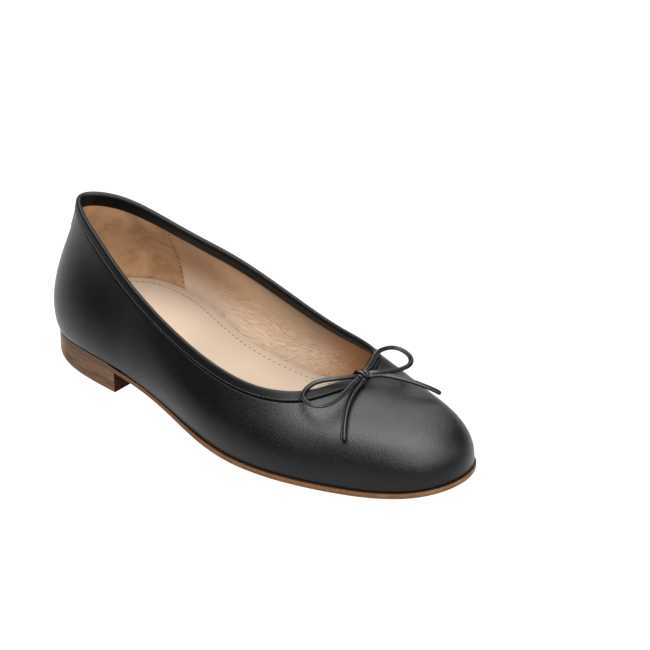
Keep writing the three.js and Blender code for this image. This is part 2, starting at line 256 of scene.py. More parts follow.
@dataclass(frozen=True)
class Kid:
    """Tan kid lining with fine wrinkles low on the walls."""

    name: str = "tan_kid"
    colour: tuple = (0.35, 0.212, 0.12, 1)
    dark: tuple = (0.305, 0.176, 0.093, 1)
    # fold is the colour of the painted shade in the creases of the wrinkles.
    fold: tuple = (0.17, 0.095, 0.05, 1)
    # pale and pale_end: painted light, the walls paler low down near the sock, fading out towards the toe.
    pale: tuple = (0.48, 0.36, 0.262, 1)
    pale_end: tuple = (35 * MM, 85 * MM)
    front: tuple = (0.24, 0.154, 0.093, 1)
    front_from: tuple = (38 * MM, 76 * MM)
    throat: tuple = (0.31, 0.13, 0.048, 1)
    throat_from: tuple = (90 * MM, 124 * MM)
    roughness: float = 0.62

    def material(self) -> Material:
        """The lining as a material; its map gives the height over the sock."""
        bench, place = NodeBench.start(self.name)
        height = bench.map_height()
        cloud = bench.noise(place, 14 * MM, 4, 0.6)
        shade = bench.mix(bench.band(cloud, 0.3, 0.72), self.colour, self.dark)
        low = 1 - bench.band(height, 9 * MM, 32 * MM)
        forward = bench.axis(place, 0)
        shade = bench.mix(bench.band(forward, *self.front_from), shade, self.front)
        # Painted light: the walls are paler low down near the sock and so darker towards the topline, where
        # shade falls; it fades out towards the toe.
        rear = 1 - bench.band(forward, *self.pale_end) * 0.6
        shade = bench.mix((1 - bench.band(height, 2 * MM, 20 * MM)) * rear * 0.85, shade, self.pale)
        shade = bench.mix(bench.band(forward, *self.throat_from), shade, self.throat)
        strands = bench.stretch(place, (0.12, 1.0, 0.9))
        folds = bench.noise(strands, 1.12 * MM, 2, 0.5, 0.25)
        away = bench.math("ABSOLUTE", folds - 0.5)
        lines = 1 - bench.band(away, 0.0, 0.045)
        reach = low * (bench.band(forward, 24 * MM, 44 * MM) * 0.7 + 0.3)
        # Painted shade: the thin lines of the wrinkles are darkened with the fold colour, where shade falls
        # in their creases.
        shade = bench.mix(lines * reach * 0.32, shade, self.fold)
        wide = bench.bump((folds * 2.2 - lines * 1.2) * reach, 0.16 * MM)
        grain = bench.noise(place, 0.5 * MM, 3, 0.6)
        normal = bench.bump(grain, 0.04 * MM, wide)
        rough = self.roughness + (cloud - 0.5) * 0.16
        constants = {"IOR": 1.45, "Sheen Weight": 0.06, "Sheen Roughness": 0.5}
        return bench.finish(constants, Base_Color=shade, Roughness=rough, Normal=normal)


@dataclass(frozen=True)
class Suede:
    """Brushed tan leather of the heel grip, with small pale specks."""

    name: str = "tan_suede"
    colour: tuple = (0.39, 0.232, 0.122, 1)
    dark: tuple = (0.245, 0.13, 0.06, 1)
    speck: tuple = (0.56, 0.41, 0.28, 1)

    def material(self) -> Material:
        """The heel grip as a material."""
        bench, place = NodeBench.start(self.name)
        cloud = bench.noise(place, 16 * MM, 4, 0.65, 0.4)
        nap = bench.noise(place, 0.9 * MM, 4, 0.7)
        shade = bench.mix(bench.band(cloud, 0.36, 0.68), self.colour, self.dark)
        shade = bench.mix((nap - 0.5) * 0.5 + 0.2, shade, self.dark)
        dots = bench.cells(place, 2.1 * MM)
        chosen = bench.band(bench.noise(place, 6 * MM, 1), 0.5, 0.6)
        speck = (1 - bench.band(dots, 0.09, 0.17)) * chosen
        shade = bench.mix(speck * 0.75, shade, self.speck)
        wide = bench.bump(speck, 0.12 * MM)
        normal = bench.bump(nap, 0.12 * MM, wide)
        rough = 0.86 + (nap - 0.5) * 0.1
        constants = {"IOR": 1.25, "Sheen Weight": 0.06, "Sheen Roughness": 0.6}
        return bench.finish(constants, Base_Color=shade, Roughness=rough, Normal=normal)


@dataclass(frozen=True)
class Sock:
    """Pale smooth leather of the insole."""

    name: str = "pale_sock"
    colour: tuple = (0.188, 0.143, 0.104, 1)
    warm: tuple = (0.176, 0.133, 0.094, 1)
    # heel and heel_end: painted light, the sock paler towards the heel.
    heel: tuple = (0.33, 0.256, 0.192, 1)
    heel_end: tuple = (-5 * MM, 60 * MM)
    pore: tuple = (0.214, 0.143, 0.09, 1)
    roughness: float = 0.55

    def material(self) -> Material:
        """The sock leather as a material."""
        bench, place = NodeBench.start(self.name)
        cloud = bench.noise(place, 26 * MM, 3, 0.55)
        fine = bench.noise(place, 0.6 * MM, 3, 0.6)
        shade = bench.mix(bench.band(cloud, 0.35, 0.75), self.colour, self.warm)
        forward = bench.axis(place, 0)
        # Painted light: the sock is paler towards the heel, standing in for the light that falls deep into
        # the heel.
        shade = bench.mix(1 - bench.band(forward, *self.heel_end), shade, self.heel)
        shade = bench.mix((fine - 0.5) * 0.2 + 0.06, shade, self.pore)
        pores = bench.cells(place, 0.7 * MM)
        slow = bench.bump(cloud, 0.25 * MM)
        normal = bench.bump(fine * 0.7 + pores * 0.4, 0.03 * MM, slow)
        rough = self.roughness + (fine - 0.5) * 0.15
        return bench.finish({"IOR": 1.45}, Base_Color=shade, Roughness=rough, Normal=normal)


@dataclass(frozen=True)
class SoleEdge:
    """Burnished leather of the outsole: orange brown, with fibres along the edge and painted shade along its
    top, under the upper.
    """

    name: str = "burnished_sole"
    colour: tuple = (0.136, 0.064, 0.029, 1)
    dark: tuple = (0.085, 0.037, 0.016, 1)
    pale: tuple = (0.21, 0.115, 0.062, 1)
    # The colour of the painted shade along the top of the edge under the upper, and where it fades out
    # towards the toe.
    crevice_shade: tuple = (0.008, 0.0055, 0.0045, 1)
    crevice_shade_end: tuple = (30 * MM, 75 * MM)
    heel: tuple = (0.105, 0.058, 0.036, 1)
    heel_end: tuple = (33 * MM, 42 * MM)
    roughness: float = 0.45

    def material(self) -> Material:
        """The sole leather as a material; its map gives the share of the edge's height."""
        bench, place = NodeBench.start(self.name)
        share = bench.map_height()
        fibres = bench.noise(bench.stretch(place, (0.16, 0.16, 1.4)), 0.35 * MM, 4, 0.65, 0.3)
        cloud = bench.noise(place, 12 * MM, 3, 0.6)
        flecks = bench.noise(bench.stretch(place, (1, 1, 0.35)), 0.6 * MM, 3, 0.6)
        shade = bench.mix(bench.band(fibres, 0.38, 0.7), self.colour, self.dark)
        shade = bench.mix(bench.band(cloud, 0.4, 0.8) * 0.5, shade, self.pale)
        shade = bench.mix(bench.band(flecks, 0.58, 0.75) * 0.35, shade, self.pale)
        forward = bench.axis(place, 0)
        shade = bench.mix(1 - bench.band(forward, *self.heel_end), shade, self.heel)
        # Painted shade: a dark line along the top of the edge at the back, fading towards the waist, where
        # the upper's edge shades the crevice; and the sole's top face under the upper darkened all round.
        rear = 1 - bench.band(forward, *self.crevice_shade_end)
        crevice_shading = bench.band(share + (fibres - 0.5) * 0.06, 0.93, 0.98) * rear
        crevice_shading = bench.math("MAXIMUM", crevice_shading, bench.band(share, 0.985, 1.0) * 0.85)
        shade = bench.mix(crevice_shading, shade, self.crevice_shade)
        normal = bench.bump(fibres * 0.8 + flecks * 0.5, 0.06 * MM)
        rough = self.roughness + (fibres - 0.5) * 0.25
        return bench.finish({"IOR": 1.14}, Base_Color=shade, Roughness=rough, Normal=normal)


@dataclass(frozen=True)
class HeelStack:
    """Waxed edges of the stacked heel lifts: grey brown, each lift a little different."""

    name: str = "stacked_heel"
    colour: tuple = (0.11, 0.061, 0.038, 1)
    dark: tuple = (0.066, 0.034, 0.02, 1)
    pale: tuple = (0.2, 0.126, 0.088, 1)
    # breast is the colour of the painted shade on the heel's breast.
    breast: tuple = (0.022, 0.006, 0.0015, 1)
    # back and its end: painted light, the back of the heel made paler.
    back: tuple = (0.56, 0.4, 0.31, 1)
    painted_light_end: tuple = (-30 * MM, -3 * MM)
    breast_at: float = 30.3 * MM
    lift: float = 2.75 * MM
    roughness: float = 0.44

    def material(self) -> Material:
        """The heel leather as a material."""
        bench, place = NodeBench.start(self.name)
        height = bench.axis(place, 2)
        step = bench.math("FLOOR", height * (1 / self.lift))
        tone = bench.add("TexWhiteNoise", {"noise_dimensions": "1D"}, {"W": step}, out=0)
        fibres = bench.noise(bench.stretch(place, (0.14, 0.14, 1.2)), 0.4 * MM, 4, 0.65, 0.5)
        streaks = bench.noise(bench.stretch(place, (0.3, 0.3, 2.2)), 3.2 * MM, 3, 0.6, 0.4)
        shade = bench.mix(bench.band(fibres, 0.35, 0.72), self.colour, self.dark)
        shade = bench.mix(bench.band(streaks, 0.45, 0.75) * 0.6, shade, self.pale)
        shade = bench.mix(tone * 0.35, shade, self.pale)
        forward = bench.axis(place, 0)
        # Painted light: the back of the heel is paler, where more light falls on it from behind and the left.
        shade = bench.mix((1 - bench.band(forward, *self.painted_light_end)) * 0.9, shade, self.back)
        # Painted shade: the breast, which faces forward under the shoe, is darkened where shade falls.
        shade = bench.mix(bench.band(forward, self.breast_at - 0.3 * MM, self.breast_at), shade, self.breast)
        normal = bench.bump(fibres + streaks * 0.5, 0.07 * MM)
        rough = self.roughness + (fibres - 0.5) * 0.25
        return bench.finish({"IOR": 1.07}, Base_Color=shade, Roughness=rough, Normal=normal)


@dataclass(frozen=True)
class Thread:
    """Fine waxed thread."""

    name: str = "black_thread"
    colour: tuple = (0.035, 0.035, 0.036, 1)
    other: tuple = (0.085, 0.085, 0.087, 1)
    roughness: float = 0.5

    def material(self) -> Material:
        """The thread as a material."""
        bench, place = NodeBench.start(self.name)
        twist = bench.noise(place, 0.25 * MM, 2)
        shade = bench.mix(bench.band(twist, 0.4, 0.65), self.colour, self.other)
        normal = bench.bump(twist, 0.04 * MM)
        rough = self.roughness + (twist - 0.5) * 0.2
        return bench.finish({"IOR": 1.3}, Base_Color=shade, Roughness=rough, Normal=normal)


# Measures


def ease(value: Array, low: float, high: float) -> Array:
    """A smooth step from 0 at low to 1 at high."""
    s = np.clip((np.asarray(value, float) - low) / (high - low), 0, 1)
    return s * s * (3 - 2 * s)


def bell(value: Array, middle: float, half: float) -> Array:
    """A bell curve of height 1 round the middle."""
    return np.exp(-(((value - middle) / half) ** 2))


def hermite(s: Array, span: Array, start: Array, end: Array, slope: Array, end_slope: Array) -> Array:
    """Cubic curves from start to end with given slopes, at shares s of their spans."""
    first = start * (1 + 2 * s) * (1 - s) ** 2 + slope * span * s * (1 - s) ** 2
    return first + end * s**2 * (3 - 2 * s) + end_slope * span * s**2 * (s - 1)


def closed(grid: Array, axis: int) -> Array:
    """A grid that ends along one axis with what it starts with."""
    return np.concatenate([grid, np.take(grid, [0], axis)], axis=axis)


def arc_lengths(line: Array) -> Array:
    """The length of a line of points up to each of them."""
    return np.concatenate([[0], np.cumsum(np.linalg.norm(np.diff(line, axis=0), axis=1))])


def read_off(marks: Array, arcs: Array, values: Array) -> Array:
    """Values of three parts, read off at marks between given lengths."""
    return np.stack([np.interp(marks, arcs, values[:, k]) for k in range(3)], -1)


# The last
@dataclass
class ClosedCurve:
    """A smooth curve of numbers round a closed loop, through one value at each knot."""

    knots: Array
    total: float
    values: Array
    spans: Array = field(init=False)
    slopes: Array = field(init=False)

    def __post_init__(self) -> None:
        """Finds the slopes that keep the curve's bend continuous."""
        count = len(self.values)
        self.spans = np.diff(np.append(self.knots, self.total))
        matrix, sides = np.zeros((count, count)), np.zeros(count)
        for i in range(count):
            before, after, here, back = (i - 1) % count, (i + 1) % count, self.spans[i], self.spans[i - 1]
            matrix[i, before] += 1 / back
            matrix[i, i] += 2 / back + 2 / here
            matrix[i, after] += 1 / here
            climb_back = (self.values[i] - self.values[before]) / back**2
            climb_on = (self.values[after] - self.values[i]) / here**2
            sides[i] = 3 * (climb_back + climb_on)
        self.slopes = np.linalg.solve(matrix, sides)

    def at(self, position: Array) -> Array:
        """The curve's values at positions round the loop."""
        u = np.mod(position, self.total)
        i = np.clip(np.searchsorted(self.knots, u, side="right") - 1, 0, len(self.values) - 1)
        after, span, values, slopes = (i + 1) % len(self.values), self.spans[i], self.values, self.slopes
        return hermite((u - self.knots[i]) / span, span, values[i], values[after], slopes[i], slopes[after])


@dataclass
class Last:
    """The foot form that the shoe is made on, as a loop of sections from the feather line to the topline.

    A row of `sections` holds the feather point's share of the length and shares of the ball width to the
    outer and inner side, the topline's shares of the length, shares of the width and shares of the fall
    of its height, each for the outer and inner side, and the lean and fall of the wall in degrees.
    """

    length: float = 240 * MM
    ball_width: float = 81.5 * MM
    back_height: float = 57.5 * MM
    throat_height: float = 32.2 * MM
    heel_height: float = 11.5 * MM
    toe_spring: float = 8 * MM
    shank_start: float = 0.22
    shank_end: float = 0.62
    spring_start: float = 0.76
    sole: float = 2.8 * MM
    gap: float = 0.3 * MM
    rear: float = -32.9 * MM
    feather_handle: float = 0.42
    topline_handle: float = 0.37
    lift_end: float = 0.9
    sag_start: float = 12 * MM
    sag_reach: float = 30 * MM
    sag_depth: float = 2.3 * MM
    steps_round: int = 352
    steps_up: int = 80
    sections: tuple = (
        (0.008, 0, 0, 0.033, 0.033, 0, 0, 1, 1, 21, 8),
        (0.035, 0.225, 0.23, 0.083, 0.083, 0.145, 0.148, 0.945, 0.955, 17, 8),
        (0.1, 0.382, 0.396, 0.16, 0.16, 0.234, 0.234, 0.753, 0.753, 16, 12),
        (0.22, 0.448, 0.425, 0.24, 0.24, 0.302, 0.301, 0.484, 0.495, 18, 16),
        (0.38, 0.464, 0.334, 0.342, 0.342, 0.362, 0.376, 0.264, 0.304, 20, 20),
        (0.54, 0.524, 0.392, 0.476, 0.476, 0.393, 0.414, 0.108, 0.146, 16, 27),
        (0.69, 0.492, 0.502, 0.61, 0.607, 0.36, 0.402, 0.034, 0.075, 10, 34),
        (0.81, 0.372, 0.474, 0.68, 0.69, 0.25, 0.361, 0.025, 0.056, 5, 43),
        (0.905, 0.26, 0.378, 0.705, 0.711, 0.115, 0.27, 0.012, 0.034, 3, 53),
        (0.968, 0.122, 0.264, 0.716, 0.721, -0.005, 0.18, 0.003, 0.014, 3, 61),
        (0.992, -0.077, 0.077, 0.723, 0.723, -0.092, 0.092, 0, 0, 5, 66),
    )

    def __post_init__(self) -> None:
        """Lays smooth curves through the sections, round the shoe."""
        rows = np.array(self.sections, float)
        inner = rows[1:-1][::-1]

        def loop(outer_column: int, inner_column: int, sign: float = 1) -> Array:
            """One column's values round the shoe, out along the outer side and back along the inner."""
            return np.concatenate([sign * rows[:, outer_column], inner[:, inner_column]])

        x = self.rear + loop(0, 0) * self.length
        y = loop(1, 2, -1) * self.ball_width
        steps = np.hypot(np.roll(x, -1) - x, np.roll(y, -1) - y)
        knots = np.concatenate([[0], np.cumsum(steps)[:-1]])
        self.total = float(steps.sum())
        self.toe_tip = float(knots[len(rows) - 1])

        def curve(values: Array) -> ClosedCurve:
            """A smooth curve through one value at each section."""
            return ClosedCurve(knots, self.total, values)

        self.x, self.y = curve(x), curve(y)
        self.top_x = curve(self.rear + loop(3, 4) * self.length)
        self.top_y = curve(loop(5, 6, -1) * self.ball_width)
        self.rise, self.lean, self.fall = curve(loop(7, 8)), curve(loop(9, 9)), curve(loop(10, 10))

    def bottom(self, x: Array) -> Array:
        """Height of the outsole's underside over the floor."""
        t = (np.asarray(x, float) - self.rear) / self.length
        spring = np.maximum(0, (t - self.spring_start) / (1 - self.spring_start))
        heel = self.heel_height * (1 - ease(t, self.shank_start, self.shank_end))
        return heel + self.toe_spring * spring**2

    def feather(self, x: Array) -> Array:
        """Height of the feather line, where the upper meets the sole."""
        return self.bottom(x) + self.sole + self.gap

    def sag(self, x: Array) -> Array:
        """How far the upper's edge comes down over the outsole's edge towards the back of the heel."""
        return self.sag_depth * ease(x, self.sag_start, self.sag_start - self.sag_reach)

    def feather_point(self, u: Array) -> Array:
        """Points of the feather line."""
        x = self.x.at(u)
        return np.stack([x, self.y.at(u), self.feather(x)], -1)

    def outward(self, u: Array) -> Array:
        """Level directions away from the foot."""
        step = self.total / self.steps_round
        along = self.feather_point(u + step) - self.feather_point(u - step)
        normal = np.stack([along[..., 1], -along[..., 0], 0 * along[..., 0]], -1)
        return normal / np.linalg.norm(normal, axis=-1, keepdims=True)

    def beside(self, u: Array, grow: Array | float, height: HeightRule) -> Array:
        """Points `grow` outside the feather line, at the height that a rule of x gives."""
        u = np.asarray(u, float)
        points = self.feather_point(u) + self.outward(u) * np.broadcast_to(grow, u.shape)[..., None]
        points[..., 2] = height(points[..., 0])
        return points

    def handles(self, u: Array) -> Array:
        """The four control points of the wall's curve at each position."""
        start = self.feather_point(u)
        x = self.top_x.at(u)
        rise = self.throat_height + self.rise.at(u) * (self.back_height - self.throat_height)
        lifted = self.feather(np.minimum(x, self.rear + self.lift_end * self.length))
        end = np.stack([x, self.top_y.at(u), lifted + rise], -1)
        out = self.outward(u)
        up = np.array([0, 0, 1.0])
        lean, fall = np.radians(self.lean.at(u))[:, None], np.radians(self.fall.at(u))[:, None]
        span = np.linalg.norm(end - start, axis=-1, keepdims=True)
        low = start + span * self.feather_handle * (out * np.sin(lean) + up * np.cos(lean))
        high = end + span * self.topline_handle * (out * np.sin(fall) - up * np.cos(fall))
        return np.stack([start, low, high, end], 1)

    @staticmethod
    def bezier(handles: Array, t: Array) -> Array:
        """Points of the wall's curves at parameters t."""
        t = t[..., None]
        p0, p1, p2, p3 = (handles[:, i][:, None] for i in range(4))
        return p0 * (1 - t) ** 3 + p1 * 3 * t * (1 - t) ** 2 + p2 * 3 * t**2 * (1 - t) + p3 * t**3

    def arc_table(self, handles: Array) -> tuple[Array, Array]:
        """Parameters and the lengths of arc up to them, for each curve."""
        t = np.linspace(0, 1, self.steps_up + 1)
        points = self.bezier(handles, np.broadcast_to(t, (len(handles), len(t))))
        steps = np.linalg.norm(np.diff(points, axis=1), axis=-1)
        return t, np.concatenate([np.zeros((len(handles), 1)), np.cumsum(steps, axis=1)], axis=1)

    def height_of_wall(self, u: Array) -> Array:
        """Length of the wall's curve from the feather line to the topline."""
        return self.arc_table(self.handles(np.asarray(u, float)))[1][:, -1]

    def on_form(self, u: Array, share: Array) -> Array:
        """Points of the form at shares of each curve's length, from the feather line up."""
        handles = self.handles(u)
        t, arcs = self.arc_table(handles)
        at = np.stack([np.interp(s * a[-1], a, t) for s, a in zip(share, arcs)])
        return self.bezier(handles, at)

    def wall(self, u: Array, below: Array, offset: Array | float) -> Array:
        """Points of the wall.

        Args:
            u: Positions round the shoe.
            below: Distances below the topline along the wall, one row a position or one row for all.
            offset: Distances out from the form.

        Returns:
            The points, one row a position.
        """
        u = np.atleast_1d(np.asarray(u, float))
        below = np.broadcast_to(below, (len(u), np.shape(below)[-1])).astype(float)
        share = np.clip(1 - below / self.height_of_wall(u)[:, None], 0, 1)
        points, normals = self.on_form(u, share), self.normals(u, share)
        return points + normals * np.broadcast_to(offset, share.shape)[..., None]

    def normals(self, u: Array, share: Array) -> Array:
        """Outward directions of the form."""
        step, reach = self.total / self.steps_round, 0.004
        along = self.on_form(u + step, share) - self.on_form(u - step, share)
        up = self.on_form(u, np.minimum(share + reach, 1)) - self.on_form(u, np.maximum(share - reach, 0))
        normal = np.cross(along, up)
        return normal / np.linalg.norm(normal, axis=-1, keepdims=True)

    def stations(self, count: int) -> Array:
        """Evenly spread positions round the shoe."""
        return np.arange(count) * self.total / count


# Making pieces


class Craft:
    """Primitives shaped into pieces with edit operators and modifiers."""

    @staticmethod
    def deselect() -> None:
        """Deselects every object."""
        bpy.ops.object.select_all(action="DESELECT")

    @staticmethod
    def pick(piece: Piece) -> None:
        """Selects one piece alone and makes it active."""
        Craft.deselect()
        piece.select_set(True)
        bpy.context.view_layer.objects.active = piece

    @staticmethod
    def sheet(
        name: str,
        points: Array,
        closed_round: bool = False,
        closed_section: bool = False,
        uv: Array | None = None,
        capped: bool = False,
        angle: float = SMOOTH_ANGLE,
    ) -> Piece:
        """Lays a grid primitive over given points and closes its seams.

        Args:
            name: The piece's name.
            points: One row of points a station.
            closed_round: Whether the last station joins the first.
            closed_section: Whether each row joins its own start.
            uv: The piece's own map, two numbers a point, or None.
            capped: Whether open ends are filled.
            angle: The sharpest smooth edge in degrees.

        Returns:
            The piece, with its normals outward.
        """
        if closed_round:
            points = closed(points, 0)
        if closed_section:
            points = closed(points, 1)
        columns, rows = points.shape[:2]
        Craft.deselect()
        bpy.ops.mesh.primitive_grid_add(x_subdivisions=columns - 1, y_subdivisions=rows - 1, size=1)
        piece = bpy.context.object
        piece.name = piece.data.name = name
        piece.data.vertices.foreach_set("co", points.transpose(1, 0, 2).astype(np.float32).ravel())
        if uv is not None:
            Craft.lay_map(piece, uv.transpose(1, 0, 2).reshape(-1, 2))
        piece.data.update()
        bpy.ops.object.mode_set(mode="EDIT")
        bpy.ops.mesh.select_all(action="SELECT")
        bpy.ops.mesh.remove_doubles(threshold=1e-6)
        if capped:
            bpy.ops.mesh.select_all(action="DESELECT")
            bpy.ops.mesh.select_mode(type="EDGE")
            bpy.ops.mesh.select_non_manifold()
            bpy.ops.mesh.fill_holes(sides=0)
            bpy.ops.mesh.select_mode(type="VERT")
        Craft.face_out()
        Craft.settle(piece)
        bpy.ops.object.shade_smooth_by_angle(angle=math.radians(angle))
        return piece

    @staticmethod
    def face_out() -> None:
        """Turns the edited piece's normals outward and leaves edit mode."""
        bpy.ops.mesh.select_all(action="SELECT")
        bpy.ops.mesh.normals_make_consistent(inside=False)
        bpy.ops.object.mode_set(mode="OBJECT")

    @staticmethod
    def lay_map(piece: Piece, uv: Array) -> None:
        """Writes the piece's own map from two numbers a point."""
        mesh = piece.data
        layer = mesh.uv_layers.active or mesh.uv_layers.new(name="UVMap")
        layer.name = "UVMap"
        corners = np.zeros(len(mesh.loops), np.int32)
        mesh.loops.foreach_get("vertex_index", corners)
        layer.data.foreach_set("uv", uv[corners].astype(np.float32).ravel())

    @staticmethod
    def settle(piece: Piece) -> None:
        """Puts the piece's place into its mesh."""
        Craft.pick(piece)
        bpy.ops.object.transform_apply(location=True, rotation=True, scale=True)

    @staticmethod
    def modify(piece: Piece, kind: str, **settings: float | str | bool | int) -> None:
        """Adds one modifier, sets it and applies it."""
        Craft.pick(piece)
        modifier = piece.modifiers.new(kind.lower(), kind)
        for key, value in settings.items():
            setattr(modifier, key, value)
        bpy.ops.object.modifier_apply(modifier=modifier.name)

    @staticmethod
    def soften(piece: Piece, width: float, segments: int = 2, angle: float = 40) -> None:
        """Rounds the piece's sharp edges."""
        Craft.pick(piece)
        bpy.ops.object.mode_set(mode="EDIT")
        bpy.ops.mesh.select_all(action="DESELECT")
        bpy.ops.mesh.select_mode(type="EDGE")
        bpy.ops.mesh.edges_select_sharp(sharpness=math.radians(angle))
        bpy.ops.mesh.bevel(offset=width, segments=segments, affect="EDGES", clamp_overlap=True)
        bpy.ops.mesh.select_mode(type="VERT")
        bpy.ops.object.mode_set(mode="OBJECT")
        bpy.ops.object.shade_smooth_by_angle(angle=math.radians(SMOOTH_ANGLE))

    @staticmethod
    def join(name: str, parts: Sequence[Piece]) -> Piece:
        """Joins pieces of one finish into one piece."""
        Craft.pick(parts[0])
        for part in parts:
            part.select_set(True)
        bpy.ops.object.join()
        piece = bpy.context.object
        piece.name = piece.data.name = name
        return piece

    @staticmethod
    def scatter(name: str, sizes: Sequence[float], places: Sequence[Matrix], detail: int = 8) -> Piece:
        """Copies one rounded bead to many places.

        Args:
            name: The joined piece's name.
            sizes: The bead's half length, half width and half thickness.
            places: The turned and moved frame of each copy.
            detail: Segments round the bead.

        Returns:
            The copies as one piece.
        """
        Craft.deselect()
        bpy.ops.mesh.primitive_uv_sphere_add(segments=detail, ring_count=max(4, detail - 2), radius=1)
        bead = bpy.context.object
        bead.data.transform(Matrix.Rotation(math.pi / 2, 4, "Y"))
        bead.data.transform(Matrix.Diagonal((*sizes, 1)))
        bpy.ops.object.shade_smooth()
        copies = []
        for place in places:
            copy = bead.copy()
            copy.data = bead.data.copy()
            copy.data.transform(place)
            bpy.context.scene.collection.objects.link(copy)
            copies.append(copy)
        bpy.data.objects.remove(bead)
        return Craft.join(name, copies)

    @staticmethod
    def dress(piece: Piece, material: Material, slot: Slot, *nodes: str) -> Piece:
        """Gives a piece its finish and its body, and hides the CAD nodes it stands for."""
        piece.data.materials.clear()
        piece.data.materials.append(material)
        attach(piece, BODY)
        if nodes:
            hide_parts(*nodes)
        log.info("%s: %d faces", piece.name, len(piece.data.polygons))
        return piece


def frame_matrix(point: Array, along: Array, normal: Array) -> Matrix:
    """A frame at a point, with X along a seam and Z out of the surface."""
    x = Vector(along).normalized()
    z = (Vector(normal) - x * Vector(normal).dot(x)).normalized()
    y = z.cross(x)
    turned = Matrix((x, y, z)).transposed().to_4x4()
    return Matrix.Translation(Vector(point)) @ turned


def seam_frames(points: Array, normals: Array, pitch: float, closed_line: bool = False) -> list[Matrix]:
    """Frames at an even pitch along a line of points.

    Args:
        points: The seam's line.
        normals: The way out of the surface at each point.
        pitch: The wanted distance from stitch to stitch.
        closed_line: Whether the line joins its start.

    Returns:
        One frame a stitch.
    """
    if closed_line:
        points, normals = closed(points, 0), closed(normals, 0)
    arcs = arc_lengths(points)
    count = max(2, int(round(arcs[-1] / pitch)))
    marks = (np.arange(count) + 0.5) * arcs[-1] / count
    reach = pitch * 0.3
    here, ahead, behind = (read_off(marks + step, arcs, points) for step in (0, reach, -reach))
    ways = read_off(marks, arcs, normals)
    return [frame_matrix(p, a - b, n) for p, a, b, n in zip(here, ahead, behind, ways)]


# Upper


